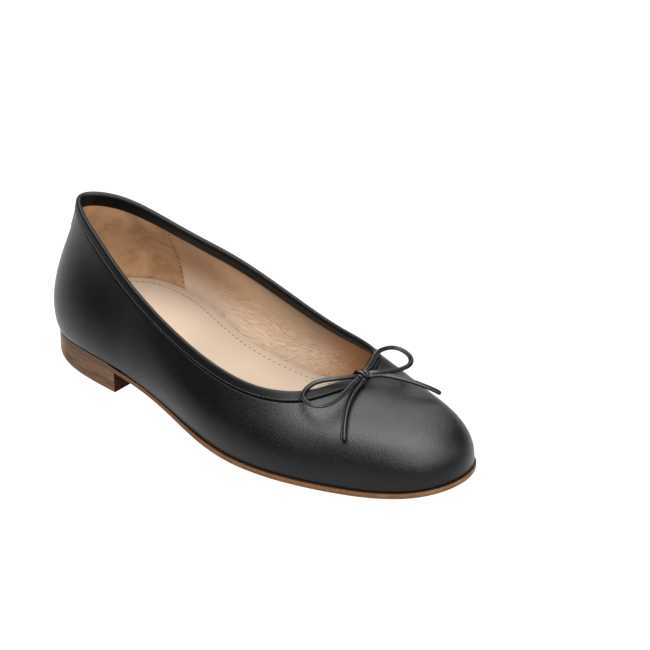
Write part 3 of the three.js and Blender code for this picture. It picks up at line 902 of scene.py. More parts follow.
@dataclass
class Upper:
    """The calf upper, its lining and the seams that show on them.

    A row of `soft_spots` holds the centre round the shoe, the centre up the wall, their half sizes and
    the depth out of the form.
    """

    last: Last
    thickness: float = 1.8 * MM
    calf: float = 0.95 * MM
    tuck: float = 0.8 * MM
    margin: float = 6 * MM
    start: float = 4.55 * MM
    rim: float = 1.6 * MM
    strip_foot: float = 5 * MM
    stations: int = 400
    rows: int = 64
    lining_stations: int = 560
    lining_rows: int = 44
    lining_low: float = 1.9 * MM
    lining_back: float = 0.7 * MM
    sock_level: float = 4.1 * MM
    grip: float = 0.3 * MM
    grip_top: float = 50 * MM
    grip_slant: float = 9.5 * MM
    grip_low: float = 2.2 * MM
    grip_seam: float = 0.75 * MM
    grip_pitch: float = 2.7 * MM
    heel_tuck: float = 4.6 * MM
    heel_tuck_in: float = 1.4 * MM
    hang: float = 9 * MM
    seam_dip: float = 0.7 * MM
    seams: tuple = (0.0, -0.130)
    seam_depth: float = 0.26 * MM
    seam_half: float = 0.3 * MM
    soft_spots: tuple = (
        (0.060, 0.34, 0.012, 0.26, 0.38 * MM),
        (0.084, 0.42, 0.009, 0.30, -0.42 * MM),
        (0.112, 0.66, 0.016, 0.16, 0.16 * MM),
        (-0.080, 0.42, 0.010, 0.30, -0.22 * MM),
        (0.250, 0.70, 0.020, 0.10, -0.12 * MM),
        (-0.250, 0.70, 0.020, 0.10, -0.12 * MM),
    )

    def away(self, u: Array, centre: float) -> Array:
        """How far positions round the shoe lie from one position, the short way round."""
        total = self.last.total
        return np.mod(u - centre + total / 2, total) - total / 2

    def ring(self) -> Array:
        """Positions round the shoe, closer together at the back seam and at the side seam."""
        even = self.last.stations(self.stations)
        steps = np.linspace(-1.2, 1.2, 17) * MM
        for seam in self.seams:
            even = even[np.abs(self.away(even, seam)) > 1.4 * MM]
        near = [np.mod(seam + steps, self.last.total) for seam in self.seams]
        return np.sort(np.concatenate([even, *near]))

    def seam_lines(self, u: Array) -> Array:
        """The fine grooves where the leather is joined at the back and on the inner side."""
        grooves = [bell(self.away(u, seam), 0, self.seam_half) for seam in self.seams]
        return -self.seam_depth * sum(grooves)[:, None]

    def relief(self, u: Array, share: Array) -> Array:
        """Soft troughs and ridges of the calf, in metres out from the form."""
        out = np.zeros(share.shape)
        for centre, level, half_round, half_up, depth in self.soft_spots:
            out += depth * bell(self.away(u, centre)[:, None], 0, half_round) * bell(share, level, half_up)
        return out

    def heel_share(self, u: Array) -> Array:
        """How far a position belongs to the heel seat, from 0 to 1."""
        total = self.last.total
        return ease(np.minimum(u, total - u), total * 0.19, total * 0.1)

    def build_calf(self, material: Material) -> Piece:
        """Builds the outer leather, rolled in under its feather edge."""
        u = self.ring()
        tall = self.last.height_of_wall(u)[:, None]
        rim = np.linspace(self.start, self.start + self.rim, 13)[None] + 0 * tall
        spread = 1 - (1 - np.linspace(0, 1, self.rows)[None]) ** 1.3
        below = np.concatenate([rim, rim[:, -1:] + (tall - rim[:, -1:]) * spread[:, 1:]], axis=1)
        left = tall - below
        heel = self.heel_share(u)[:, None]
        tuck = self.tuck + (self.heel_tuck - self.tuck) * heel
        tuck_in = 0.8 * self.tuck + (self.heel_tuck_in - 0.8 * self.tuck) * heel
        drop = np.clip(tuck - left, 0, tuck) / tuck
        dip = bell(below, self.strip_foot, 0.4 * MM) + 0.17 * bell(below, self.strip_foot, 1.8 * MM)
        offset = -tuck_in * (1 - np.sqrt(np.clip(1 - drop**2, 0, 1))) - self.seam_dip * dip
        offset = offset + self.seam_lines(u) * np.clip((below - self.strip_foot) / MM, 0, 1)
        outer = self.last.wall(u, below, offset + self.relief(u, 1 - below / tall))
        feather, sag = self.last.feather, self.last.sag
        outer[..., 2] -= sag(outer[..., 0]) * np.clip(1 - left / self.hang, 0, 1) ** 2
        toe_in = self.last.beside(u, -self.margin, lambda x: feather(x) - sag(x))[:, None]
        toe_top = self.last.beside(u, -self.margin, lambda x: feather(x) + self.calf)[:, None]
        foot = tall - self.rim
        inner = self.last.wall(u, foot - (foot - self.start) * np.linspace(0, 1, 12)[None], -self.calf)
        points = np.concatenate([outer, toe_in, toe_top, inner], axis=1)
        return Craft.dress(Craft.sheet("upper_calf", points, True, True), material, Slot.CALF, "upper")

    def wrinkles(self, u: Array, height: Array) -> Array:
        """Low wrinkles of the lining near the sock, in metres in from its face."""
        u, total = u[:, None], self.last.total
        sides = bell(u, 0.69 * total, 0.13 * total) + bell(u, 0.31 * total, 0.13 * total)
        low = np.exp(-np.clip(height, 0, None) / (6 * MM))
        slant = u * 312 / total + height * 260
        waves = np.sin(slant) * np.sin(u * 190 + np.sin(height * 700) * 1.4)
        waves = waves + 0.6 * np.sin(slant * 1.9 + u * 410)
        return 0.05 * MM * waves * low * np.clip(sides, 0, 1)

    def build_lining(self, material: Material) -> Piece:
        """Builds the kid lining; its map holds the position round and the height over the sock."""
        u = self.last.stations(self.lining_stations)
        tall = self.last.height_of_wall(u)[:, None]
        below = self.start + (tall - self.lining_low - self.start) * np.linspace(0, 1, self.lining_rows)[None]
        back_below = below[:, ::-1][:, :: self.lining_rows // 5]
        height = tall - np.concatenate([below, back_below], axis=1) - self.sock_level
        face = self.last.wall(u, below, self.wrinkles(u, height[:, : self.lining_rows]) - self.thickness)
        back = self.last.wall(u, back_below, self.lining_back - self.thickness)
        points = closed(np.concatenate([face, back], axis=1), 0)
        uv = closed(np.stack([np.broadcast_to(u[:, None], height.shape), height], -1), 0)
        uv[-1, :, 0] = self.last.total
        piece = Craft.sheet("kid_lining", closed(points, 1), uv=closed(uv, 1))
        return Craft.dress(piece, material, Slot.LINING)

    def grip_line(self, u: Array, level: Array | float, out: float) -> Array:
        """Points of the heel grip at a level from its top to its foot, out from its face."""
        below = self.start + (self.last.height_of_wall(u) - self.grip_low - self.start) * level
        return self.last.wall(u, below[:, None], out - self.thickness - self.grip)[:, 0]

    def grip_end(self, share: Array | float) -> Array | float:
        """How far round the shoe the heel grip's slanted edge lies, from its top to its foot."""
        return self.grip_top + self.grip_slant * share**1.5

    def build_grip(self, material: Material) -> Piece:
        """Builds the suede heel grip that overlaps the lining as far as a slanted seam on each side."""
        reach = np.linspace(-1, 1, 121)
        rows = [self.grip_line(reach * self.grip_end(level), level, 0.0) for level in np.linspace(0, 1, 30)]
        piece = Craft.sheet("heel_grip", np.stack(rows, 1))
        Craft.modify(piece, "SOLIDIFY", thickness=self.grip + 0.1 * MM, offset=0)
        return Craft.dress(piece, material, Slot.LINING)

    def build_grip_stitches(self, material: Material) -> Piece:
        """Stitches down both slanted edges of the heel grip."""
        share = np.linspace(0.02, 0.94, 40)
        places = []
        for side in (1, -1):
            u = side * (self.grip_end(share) - self.grip_seam)
            line = self.grip_line(u, share, -0.22 * MM)
            places += seam_frames(line, self.grip_line(u, share, -1 * MM) - line, self.grip_pitch)
        piece = Craft.scatter("grip_stitches", (0.75 * MM, 0.42 * MM, 0.2 * MM), places, 6)
        return Craft.dress(piece, material, Slot.THREAD)


@dataclass
class Binding:
    """The folded strip round the topline and its stitches."""

    last: Last
    stations: int = 440
    seam_stations: int = 900
    pitch: float = 1.4 * MM
    seam: float = 4.2 * MM
    facing: float = 7.1

    def profile(self) -> list[tuple[float, float]]:
        """The strip's section as distances below the topline and out from the form, in millimetres."""
        outer = [
            (4.66, -0.9), (4.74, -0.5), (4.8, -0.1), (4.81, 0.2), (4.75, 0.36), (4.6, 0.43), (4.2, 0.46),
            (3.4, 0.48), (2.4, 0.48), (1.5, 0.46), (0.95, 0.4), (0.52, 0.27), (0.22, 0.06),
            (0.06, -0.24),
        ]
        top = [
            (0, -0.6), (0.02, -0.96), (0.12, -1.32), (0.32, -1.66), (0.62, -1.96), (1.0, -2.17),
            (1.5, -2.29),
        ]
        inner = [
            (2.1, -2.33), (3.2, -2.35), (4.6, -2.36), (6, -2.36), (self.facing - 0.3, -2.34),
            (self.facing - 0.06, -2.28), (self.facing, -2.1), (self.facing, -1.6),
        ]
        return outer + top + inner

    def build_strip(self, material: Material) -> Piece:
        """Builds the folded strip."""
        u = self.last.stations(self.stations)
        profile = np.array(self.profile()) * MM
        points = self.last.wall(u, profile[None, :, 0], profile[None, :, 1])
        piece = Craft.sheet("topline_strip", points, True, True, angle=60)
        return Craft.dress(piece, material, Slot.BINDING, "topline_binding")

    def build_stitches(self, material: Material) -> Piece:
        """Stitches in the strip's channel, all round."""
        u = self.last.stations(self.seam_stations)
        line = self.last.wall(u, np.array([[self.seam]]), 0.5 * MM)[:, 0]
        out = self.last.wall(u, np.array([[self.seam]]), 1.5 * MM)[:, 0]
        places = seam_frames(line, out - line, self.pitch, True)
        piece = Craft.scatter("topline_stitches", (0.31 * MM, 0.19 * MM, 0.15 * MM), places)
        return Craft.dress(piece, material, Slot.THREAD)


@dataclass
class BackTab:
    """The short strip over the back seam."""

    last: Last
    width: float = 10 * MM
    length: float = 14 * MM
    start: float = 4.6 * MM
    thickness: float = 0.55 * MM
    lift: float = -0.1 * MM
    round_off: float = 0.7 * MM
    corner: float = 3.2 * MM
    seam_in: float = 1.25 * MM
    pitch: float = 1.5 * MM

    def half_width(self, down: float) -> float:
        """Half of the tab's width at a distance down from its top, rounded at its foot."""
        left = np.clip((self.length + self.round_off - down) / self.corner, 0, 1)
        return self.width / 2 * (0.42 + 0.58 * np.sqrt(1 - (1 - left) ** 2))

    def surface(self, side: Array, down: Array, offset: float) -> Array:
        """Points of the tab, side from -1 to 1 and down from its top."""
        columns = []
        for step in down:
            below = np.array([[self.start + step]])
            columns.append(self.last.wall(side * self.half_width(step), below, offset))
        return np.concatenate(columns, axis=1)

    def build(self, material: Material) -> Piece:
        """Builds the tab with rounded edges."""
        side = np.sin(np.linspace(-math.pi / 2, math.pi / 2, 25))
        down = np.linspace(0, self.length + self.round_off, 30)
        outer = self.surface(side, down, self.lift + self.thickness)
        inner = self.surface(side, down, self.lift)
        points = np.concatenate([outer, inner[:, ::-1]], axis=1)
        piece = Craft.sheet("back_tab_strip", points, False, True, capped=True)
        Craft.soften(piece, 0.28 * MM, 3, 50)
        return Craft.dress(piece, material, Slot.BINDING, "back_tab")

    def build_stitches(self, material: Material) -> Piece:
        """Stitches just inside the tab's edge."""
        down = np.linspace(1.2 * MM, self.length - 0.9 * MM, 40)
        inset = 1 - self.seam_in / (self.width / 2)
        corners = np.linspace(-inset, inset, 14)

        def seam(offset: float) -> Array:
            """The seam's line down one side, across the foot and up the other, out from the form."""
            return np.concatenate([
                self.surface(corners[:1], down, offset)[0],
                self.surface(corners, down[-1:], offset)[:, 0],
                self.surface(corners[-1:], down[::-1], offset)[0],
            ])

        face = self.lift + self.thickness + 0.04 * MM
        line = seam(face)
        places = seam_frames(line, seam(face + MM) - line, self.pitch)
        piece = Craft.scatter("tab_stitches", (0.55 * MM, 0.2 * MM, 0.17 * MM), places)
        return Craft.dress(piece, material, Slot.THREAD)


# Bottom


@dataclass
class Plate:
    """A plate inside an outline that follows the feather line."""

    last: Last
    spans: int = 110
    across: int = 22

    def points(
        self,
        rims: Sequence[tuple[float, HeightRule]],
        grows: Callable[[Array, float], Array],
        ends: tuple[float, float] | None = None,
    ) -> Array:
        """Closed sections across the shoe, from the heel back to the toe tip or to given ends.

        Args:
            rims: Growth and height rule of each edge line, from the top down.
            grows: Turns positions and a rim's growth into growth at each position.
            ends: The last positions on the outer and the inner side, or None for the toe tip.

        Returns:
            One closed section a station.
        """
        t = np.linspace(0, 1, self.spans + 1)
        if ends is None:
            t = 0.45 * t + 0.55 * (1 - np.cos(np.pi * t)) / 2
            outer_end, inner_end = self.last.toe_tip, self.last.toe_tip - self.last.total
        else:
            t = 1 - np.cos(np.pi * t / 2)
            outer_end, inner_end = ends
        outer, inner = [], []
        for grow, rule in rims:
            outer.append(self.last.beside(t * outer_end, grows(t * outer_end, grow), rule))
            inner.append(self.last.beside(t * inner_end, grows(t * inner_end, grow), rule))
        outer, inner = np.stack(outer, 1), np.stack(inner, 1)
        share = np.linspace(0, 1, self.across + 1)[1:-1][None, :, None]
        top = outer[:, :1] + (inner[:, :1] - outer[:, :1]) * share
        low = inner[:, -1:] + (outer[:, -1:] - inner[:, -1:]) * share
        top[..., 2] = rims[0][1](top[..., 0])
        low[..., 2] = rims[-1][1](low[..., 0])
        return np.concatenate([top, inner, low, outer[:, ::-1]], axis=1)


@dataclass
class Insole:
    """The pale sock that covers the insole, sewn near its edge."""

    last: Last
    wall: float = 1.8 * MM
    gap: float = 0.3 * MM
    thickness: float = 2 * MM
    edge: float = 0.5 * MM
    seam: float = 4.6 * MM
    seam_stations: int = 900
    pitch: float = 2.95 * MM

    def growth(self, u: Array, grow: float) -> Array:
        """How far inside the feather line the edge runs."""
        lean = np.radians(self.last.lean.at(u))
        return -self.wall / np.cos(lean) - self.gap + grow

    def level(self, rise: float) -> HeightRule:
        """A height rule that lies `rise` over the sock's underside."""
        base = self.wall + self.gap
        return lambda x: self.last.feather(x) + base + rise

    def build(self, material: Material) -> Piece:
        """Builds the sock with a rounded edge."""
        t, e = self.thickness, self.edge
        rims = [
            (-e, self.level(t)), (-0.3 * e, self.level(t - 0.12 * e)), (0, self.level(t - 0.5 * e)),
            (0, self.level(t - 2 * e)), (0, self.level(0)),
        ]
        piece = Craft.sheet("sock", Plate(self.last).points(rims, self.growth), False, True)
        return Craft.dress(piece, material, Slot.SOCK, "insole")

    def seam_line(self, lift: float) -> tuple[Array, Array]:
        """The seam's line and the way up from it."""
        u = self.last.stations(self.seam_stations)
        inset = self.growth(u, -self.seam)
        line = self.last.beside(u, inset, self.level(self.thickness + lift))
        up = np.broadcast_to(np.array([0, 0, 1.0]), line.shape)
        return line, up

    def build_stitches(self, thread: Material, hole: Material) -> list[Piece]:
        """Pale stitches with a dark bead of painted shade between each two, for the shade inside a needle
        hole.
        """
        line, up = self.seam_line(0.02 * MM)
        places = seam_frames(line, up, self.pitch, True)
        threads = Craft.scatter("sock_stitches", (0.92 * MM, 0.16 * MM, 0.09 * MM), places)
        # Painted shade: dark beads between the stitches stand for the shade inside the needle holes.
        holes = Craft.scatter("sock_hole_shade", (0.58 * MM, 0.3 * MM, 0.06 * MM), self.between(places), 8)
        return [Craft.dress(threads, thread, Slot.SOCK), Craft.dress(holes, hole, Slot.THREAD)]

    @staticmethod
    def between(places: Sequence[Matrix]) -> list[Matrix]:
        """Frames half-way from each frame to the next."""
        found = []
        for place, after in zip(places, [*places[1:], places[0]]):
            middle = place.copy()
            middle.translation = (place.translation + after.translation) / 2
            found.append(middle)
        return found


@dataclass
class Outsole:
    """The leather outsole with its burnished edge."""

    last: Last
    thickness: float = 2.8 * MM
    margin: float = 1 * MM
    rounding: float = 0.8 * MM
    waist_inset: float = 0.9 * MM
    waist_span: tuple = (96 * MM, 46 * MM)
    heel_inset: float = 1.95 * MM
    heel_span: tuple = (34 * MM, 22 * MM)

    def growth(self, u: Array, grow: float) -> Array:
        """A rim's growth, less at the waist and at the heel, where the edge is trimmed close."""
        x = self.last.x.at(u)
        waist, heel = ease(x, *self.waist_span), ease(x, *self.heel_span)
        crown = self.margin - (self.margin - grow) * (1 - 0.92 * heel)
        return crown - self.waist_inset * waist - (self.heel_inset - self.waist_inset) * heel

    def level(self, rise: float) -> HeightRule:
        """A height rule `rise` over the sole's underside, less where the upper comes down over it."""
        return lambda x: self.last.bottom(x) + rise * (1 - self.last.sag(x) / self.thickness)

    def build(self, material: Material) -> Piece:
        """Builds the sole with a crowned edge; its map holds the share of the edge's height."""
        t, m, r = self.thickness, self.margin, self.rounding
        rims = [
            (m - 0.3 * r, self.level(t)), (m - 0.1 * r, self.level(t - 0.08 * r)),
            (m, self.level(t - 0.3 * r)), (m + 0.02 * r, self.level(0.55 * t)), (m, self.level(r)),
            (m - 0.25 * r, self.level(0.35 * r)), (m - r, self.level(0)),
        ]
        points = Plate(self.last, 130, 24).points(rims, self.growth)
        share = (points[..., 2] - self.last.bottom(points[..., 0])) / self.thickness
        uv = np.stack([points[..., 0], share], -1)
        piece = Craft.sheet("outsole_leather", closed(points, 1), uv=closed(uv, 1))
        return Craft.dress(piece, material, Slot.SOLE, "outsole")


@dataclass
class Heel:
    """The low stacked heel: a top piece on the floor and lifts of leather over it.

    The `shifts` say how far each of them is proud of the outline, from the floor up.
    """

    last: Last
    length: float = 61 * MM
    inset: float = 0.95 * MM
    gap: float = 0.03 * MM
    shifts: tuple = (0.0, -0.03 * MM, 0.03 * MM, 0.0)
    groove: float = 0.07 * MM

    def end(self, past: float) -> float:
        """Where the heel's outline crosses the breast, found by halving the way to a position past it."""
        behind, ahead = 0.0, past
        for _ in range(40):
            middle = (behind + ahead) / 2
            point = self.last.beside(np.array([middle]), -self.inset, self.last.feather)
            if point[0, 0] < self.length / 2:
                behind = middle
            else:
                ahead = middle
        return (behind + ahead) / 2

    def build(self, material: Material) -> list[Piece]:
        """Builds the top piece and the lifts, each between two shares of the heel's height."""
        ends = (self.end(self.last.toe_tip), self.end(self.last.toe_tip - self.last.total))
        top = self.last.heel_height - self.gap

        def level(share: float) -> HeightRule:
            """A height rule at a share of the heel's height."""
            return lambda x: np.minimum(self.last.bottom(x) - self.gap, top) * share

        pieces = []
        count = len(self.shifts)
        for k, shift in enumerate(self.shifts):
            grow = shift - self.inset
            rims = [(grow, level((k + 1) / count)), (grow, level(k / count))]
            points = Plate(self.last, 60, 12).points(rims, lambda u, g: np.full(np.shape(u), g), ends)
            name = f"heel_lift_{k}" if k else "heel_top_piece"
            piece = Craft.sheet(name, points, False, True, capped=True, angle=30)
            Craft.soften(piece, self.groove, 2, 50)
            pieces.append(Craft.dress(piece, material, Slot.HEEL, "heel"))
        return pieces


# Bow


@dataclass
class Cord:
    """One folded and stitched leather cord of the bow."""

    name: str
    node: str
    steps: tuple
    far_end: FarEnd
    seam_side: float
    width: float = 2.45 * MM
    thickness: float = 1.75 * MM
    channel: float = 0.52 * MM
    channel_at: float = 0.5 * MM
    channel_half: float = 0.25 * MM
    seam_at: float = 0.52 * MM
    pitch: float = 1.45 * MM
    sides: int = 40
    rings: int = 120

    def path(self, middle: Array) -> Array:
        """The cord's centreline, evenly spaced, from its steps off the knot's middle."""
        knots = np.array(self.steps, float) * MM + middle
        t = np.concatenate([[0], np.cumsum(np.sqrt(np.linalg.norm(np.diff(knots, axis=0), axis=1)))])
        slopes = np.gradient(knots, t, axis=0)
        fine = np.linspace(0, t[-1], 1200)
        i = np.clip(np.searchsorted(t, fine, side="right") - 1, 0, len(t) - 2)
        span = (t[i + 1] - t[i])[:, None]
        line = hermite((fine - t[i])[:, None] / span, span, knots[i], knots[i + 1], slopes[i], slopes[i + 1])
        arcs = arc_lengths(line)
        return read_off(np.linspace(0, arcs[-1], self.rings), arcs, line)

    @staticmethod
    def frames(path: Array) -> tuple[Array, Array]:
        """Sideways and upward directions along the path."""
        along = np.gradient(path, axis=0)
        along /= np.linalg.norm(along, axis=1, keepdims=True)
        steady = np.array([0.12, 0, 1.0])
        up = steady - along * (along @ steady)[:, None]
        up /= np.linalg.norm(up, axis=1, keepdims=True)
        return np.cross(along, up), up

    def section(self) -> Array:
        """The section's sideways and upward parts: a rounded fold with a flatter sewn side."""
        angle = np.linspace(0, 2 * np.pi, self.sides, endpoint=False)
        x, y = (
            np.sign(part) * np.abs(part) ** (2 / 2.3) * size / 2
            for part, size in ((np.cos(angle), self.width), (np.sin(angle), self.thickness))
        )
        flat = 1 - 0.3 * np.clip(x / (self.width / 2) * self.seam_side, 0, 1)
        groove = bell(x * self.seam_side, self.channel_at, self.channel_half) * (y > 0)
        return np.stack([x, y * flat - self.channel * groove], -1)

    def build(self, middle: Array, material: Material, thread: Material) -> list[Piece]:
        """Builds the cord and its stitches."""
        path = self.path(middle)
        side, up = self.frames(path)
        scale = np.ones(self.rings)
        if self.far_end is FarEnd.BARE:
            scale[-4:] = (0.99, 0.95, 0.85, 0.6)
        spread = self.section()[None] * scale[:, None, None]
        points = path[:, None] + side[:, None] * spread[..., :1] + up[:, None] * spread[..., 1:]
        piece = Craft.sheet(self.name, points, False, True, capped=True, angle=70)
        Craft.dress(piece, material, Slot.CORD, self.node)
        line = path + side * (self.seam_at * self.seam_side) + up * (0.52 * self.thickness / 2)
        places = seam_frames(line[2:-3], up[2:-3] + side[2:-3] * 0.35 * self.seam_side, self.pitch)
        stitches = Craft.scatter(self.name + "_stitches", (0.42 * MM, 0.14 * MM, 0.14 * MM), places, 6)
        Craft.dress(stitches, thread, Slot.THREAD)
        return [piece, stitches]


@dataclass
class Bow:
    """The thin leather bow on the throat: two loops, two tails and the knot."""

    cords: tuple = (
        Cord(
            "bow_loop_lateral_cord", "bow_loop_lateral",
            (
                (-0.2, -1.8, 0.7), (-0.9, -4.4, 1.1), (-2.5, -7.6, 1.4), (-5.2, -12.2, 1.7),
                (-8.2, -16.2, 1.5), (-10.1, -20, 1.1), (-10.3, -24.6, 0.5), (-9.3, -28.4, 0),
                (-7.6, -30.9, -0.3), (-4.9, -32.2, -0.7), (-1.5, -32.1, -1), (1.2, -30.5, -1.3),
                (3, -27.8, -1.4), (4.1, -23.6, -1.2), (4, -18.8, -0.8), (3.1, -13.1, -0.3),
                (2.1, -7.6, 0.3), (1.8, -4.4, 0.6), (1.1, -1.8, 0.4),
            ),
            FarEnd.KNOT, 1,
        ),
        Cord(
            "bow_loop_medial_cord", "bow_loop_medial",
            (
                (0.1, 1.8, 0.7), (-0.2, 4.4, 1.4), (-1.2, 8.6, 2), (-3.4, 13.8, 2.5), (-4.7, 18.5, 2.3),
                (-4.8, 23, 1.6), (-3.7, 26.6, 0.9), (-1.3, 28.9, 0.1), (1.7, 29.6, -0.7),
                (4.8, 28.9, -1.3), (7.4, 26.7, -1.6), (9, 23.3, -1.6), (9.1, 19.2, -1.3),
                (8.2, 14.8, -0.7), (6.8, 10.6, 0), (4.9, 6.8, 0.6), (3.2, 4.5, 0.8), (1.7, 2, 0.4),
            ),
            FarEnd.KNOT, 1,
        ),
        Cord(
            "bow_tail_lateral_cord", "bow_tail_lateral",
            (
                (1.2, -0.8, -0.7), (2.4, -3, -1.6), (3, -6, -2.3), (4.2, -10.6, -3.3),
                (6.4, -15.8, -4.6), (9.4, -21.1, -6), (12.6, -25.9, -7.6), (15.5, -29.9, -9.6),
                (17.6, -32.4, -11.4),
            ),
            FarEnd.BARE, 1, 2.75 * MM,
        ),
        Cord(
            "bow_tail_medial_cord", "bow_tail_medial",
            (
                (1.6, 0.6, -0.1), (3.4, 2.4, 0.1), (5, 5, -0.1), (7.6, 8.2, -0.6), (11.4, 10.8, -1.2),
                (15.3, 13.2, -2), (19.4, 15.5, -3), (23.6, 17.7, -4.3), (26.9, 19.7, -5.8),
                (29.3, 21.4, -7.3),
            ),
            FarEnd.BARE, -1, 2.75 * MM,
        ),
    )

    def middle(self) -> Array:
        """The middle of the knot's CAD solid."""
        low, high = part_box("bow_knot")
        return np.array((low + high) / 2)

    @staticmethod
    def wrap(centre: Array, radii: tuple, tilt: float, width: float) -> Piece:
        """Builds one turn of cord round the crossing, from a torus drawn out to its radii and width."""
        tube, thick, skew = 0.3, 0.72 * MM, 0.35 * MM
        Craft.deselect()
        bpy.ops.mesh.primitive_torus_add(
            major_segments=56, minor_segments=20, major_radius=1, minor_radius=tube, generate_uvs=True
        )
        piece = bpy.context.object
        mesh = piece.data
        co = np.zeros(len(mesh.vertices) * 3, np.float32)
        mesh.vertices.foreach_get("co", co)
        x, y, z = co.reshape(-1, 3).astype(float).T
        ring = np.hypot(x, y)
        out, across = (ring - 1) / tube, z / tube
        across = np.sign(across) * np.abs(across) ** 0.85 * width / 2
        cos, sin = x / ring, y / ring
        drawn = (cos * (radii[0] + out * thick), across + skew * sin, sin * (radii[1] + out * thick))
        turn = np.array(Matrix.Rotation(math.radians(tilt), 3, "Z"))
        shape = np.stack(drawn, -1) @ turn.T + centre
        mesh.vertices.foreach_set("co", shape.astype(np.float32).ravel())
        mesh.update()
        bpy.ops.object.mode_set(mode="EDIT")
        Craft.face_out()
        Craft.settle(piece)
        bpy.ops.object.shade_smooth()
        return piece

    def build_knot(self, material: Material) -> Piece:
        """Builds the knot: a full core with the cord wrapped over it."""
        middle = self.middle()
        Craft.deselect()
        bpy.ops.mesh.primitive_uv_sphere_add(segments=28, ring_count=18, radius=1)
        core = bpy.context.object
        core.data.transform(Matrix.Diagonal((2.6 * MM, 3.5 * MM, 1.9 * MM, 1)))
        core.data.transform(Matrix.Translation(Vector(middle)))
        bpy.ops.object.shade_smooth()
        turns = [
            self.wrap(middle + np.array(at) * MM, radii, tilt, width)
            for at, radii, tilt, width in (
                ((0.3, -0.9, 0.1), (2.9 * MM, 2.1 * MM), 20, 2.4 * MM),
                ((0.8, 1.5, -0.1), (2.6 * MM, 1.8 * MM), -10, 2.2 * MM),
                ((2.1, -0.5, -1.2), (0.9 * MM, 0.75 * MM), 35, 3.4 * MM),
            )
        ]
        return Craft.dress(Craft.join("knot", [core, *turns]), material, Slot.CORD, "bow_knot")

    def build(self, material: Material, thread: Material) -> None:
        """Builds the cords and the knot."""
        for cord in self.cords:
            cord.build(self.middle(), material, thread)
        self.build_knot(material)


# Studio


@dataclass(frozen=True)
class Softbox:
    """A rectangular light that faces the shoe, at degrees from +X and over the floor."""

    name: str
    azimuth: float
    elevation: float
    distance: float
    width: float
    height: float
    radiance: float
    aim: tuple = (0.1, 0, 0.03)

    def light(self) -> None:
        """Adds the lamp."""
        a, e = math.radians(self.azimuth), math.radians(self.elevation)
        away = Vector((math.cos(a) * math.cos(e), math.sin(a) * math.cos(e), math.sin(e)))
        bpy.ops.object.light_add(type="AREA", location=Vector(self.aim) + away * self.distance)
        lamp = bpy.context.object
        lamp.name = self.name
        lamp.data.shape = "RECTANGLE"
        lamp.data.size, lamp.data.size_y = self.width, self.height
        lamp.data.energy = self.radiance * math.pi * self.width * self.height
        lamp.rotation_mode = "QUATERNION"
        lamp.rotation_quaternion = away.to_track_quat("Z", "Y")


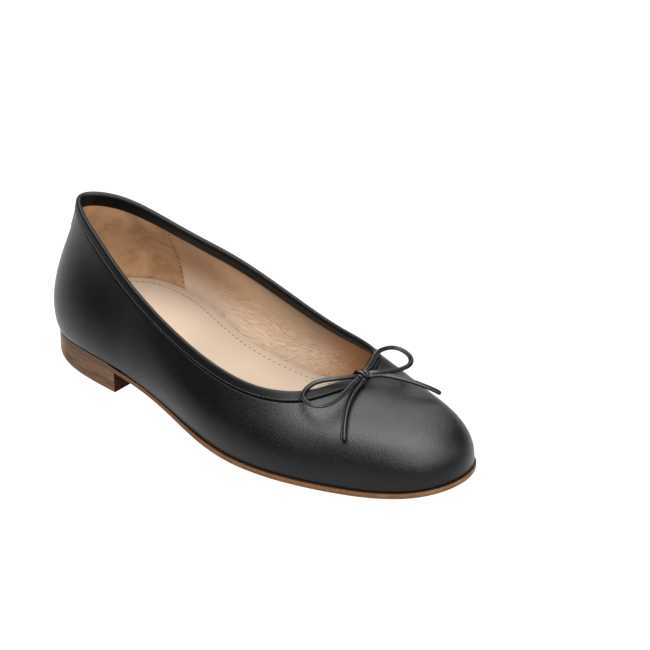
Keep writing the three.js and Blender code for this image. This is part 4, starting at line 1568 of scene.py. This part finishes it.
@dataclass
class Studio:
    """The camera, the lights and the pale floor."""

    place: tuple = (0.76661, -0.74912, 0.65017)
    azimuth: float = 40.398
    elevation: float = 30.938
    roll: float = 0.836
    lens: float = 142.36
    pool_middle: float = 86 * MM
    pool: tuple = (0.15, 0.07)
    low_room: tuple = (0.02, 0.02, 0.0202, 1)
    high_room: tuple = (0.05, 0.05, 0.0505, 1)
    backdrop: tuple = grey(0.86)
    softboxes: tuple = (
        Softbox("overhead", 150, 86, 1.2, 0.95, 1.6, 7.8),
        Softbox("canopy", -42, 76, 1.3, 1.25, 3.6, 3.5),
        Softbox("side_fill", -42, 36, 1.7, 1.7, 0.75, 5.6),
        Softbox("front_fill", 24, 38, 1.7, 1.5, 1.2, 2.6),
        Softbox("back_fill", 125, 31, 1.7, 1.1, 0.95, 2.85),
    )

    def set_camera(self) -> None:
        """Places the camera at the photograph's angle."""
        bpy.ops.object.camera_add(location=self.place)
        camera = bpy.context.object
        a, e = math.radians(self.azimuth), math.radians(self.elevation)
        back = Vector((math.sin(a) * math.cos(e), -math.cos(a) * math.cos(e), math.sin(e)))
        right = Vector((math.cos(a), math.sin(a), 0))
        up = back.cross(right)
        turn = math.radians(self.roll)
        right, up = right * math.cos(turn) + up * math.sin(turn), up * math.cos(turn) - right * math.sin(turn)
        camera.rotation_mode = "QUATERNION"
        camera.rotation_quaternion = Matrix((right, up, back)).transposed().to_quaternion()
        camera.data.lens = self.lens
        camera.data.sensor_width = 36
        camera.data.clip_start, camera.data.clip_end = 0.01, 100
        bpy.context.scene.camera = camera

    def set_lights(self) -> None:
        """Places the softboxes and the dim room, which the camera alone sees as a pale backdrop."""
        for box in self.softboxes:
            box.light()
        bench = NodeBench(bpy.data.worlds.new("studio"))
        height = bench.axis(bench.add("TexCoord", out="Generated"), 2)
        room = bench.mix(bench.band(height, 0.1, 0.9, "LINEAR"), self.low_room, self.high_room)
        seen = bench.add("LightPath", out="Is Camera Ray")
        glow = bench.add("Background", None, {"Color": bench.mix(seen, room, self.backdrop)})
        bench.node("OutputWorld", {}, {"Surface": glow})
        bpy.context.scene.world = bench.owner
        bpy.context.scene.view_settings.view_transform = "Standard"

    def lay_floor(self) -> None:
        """Lays the pale floor, which lights itself and is brightest round the shoe."""
        Craft.deselect()
        bpy.ops.mesh.primitive_plane_add(size=30, location=(0, 0, -0.05 * MM))
        floor = bpy.context.object
        floor.name = "floor"
        Craft.settle(floor)
        bench, place = NodeBench.start("pale_floor")
        shade = bench.mix(bench.noise(place, 0.6) * 0.1, grey(0.04), grey(0.035))
        along = (bench.axis(place, 0) - self.pool_middle) * (1 / self.pool[0])
        aside = bench.axis(place, 1) * (1 / self.pool[1])
        away = (along * along + aside * aside) ** 0.5
        glow = bench.mix(bench.band(away, 0.8, 1.6), grey(1.04), grey(0.94))
        constants = {"Roughness": 0.8, "Emission Strength": 1.0}
        floor.data.materials.append(bench.finish(constants, Base_Color=shade, Emission_Color=glow))


def main() -> None:
    """Builds the studio and the shoe, piece by piece."""
    logging.basicConfig(level=logging.INFO, format="%(message)s")
    Craft.deselect()
    studio, last = Studio(), Last()
    studio.set_camera()
    calf = Calf().material()
    edge_calf = Calf("binding_calf", roughness=0.46, ripple=0.02 * MM, depth=0.04 * MM, ior=1.24).material()
    cord_calf = Calf("cord_calf", roughness=0.3, ripple=0.01 * MM, depth=0.02 * MM, ior=1.33).material()
    thread = Thread().material()
    Bow().build(cord_calf, Thread("cord_thread", grey(0.006), grey(0.014), 0.6).material())
    upper = Upper(last)
    upper.build_calf(calf)
    upper.build_lining(Kid().material())
    upper.build_grip(Suede().material())
    tan_thread = Thread("tan_thread", (0.04, 0.018, 0.008, 1), (0.07, 0.034, 0.016, 1), 0.8).material()
    upper.build_grip_stitches(tan_thread)
    binding = Binding(last)
    binding.build_strip(edge_calf)
    binding.build_stitches(thread)
    tab = BackTab(last)
    tab.build(edge_calf)
    tab.build_stitches(thread)
    insole = Insole(last)
    insole.build(Sock().material())
    pale_thread = Thread("pale_thread", (0.27, 0.2, 0.145, 1), (0.23, 0.165, 0.11, 1), 0.7).material()
    # Painted shade: the colour of the dark beads between the sock's stitches, for the shade inside the needle
    # holes.
    hole = Thread("needle_hole_shade", (0.05, 0.026, 0.013, 1), (0.075, 0.038, 0.02, 1), 0.9).material()
    insole.build_stitches(pale_thread, hole)
    Outsole(last).build(SoleEdge().material())
    Heel(last).build(HeelStack().material())
    studio.lay_floor()
    studio.set_lights()


if __name__ == "__main__":
    main()
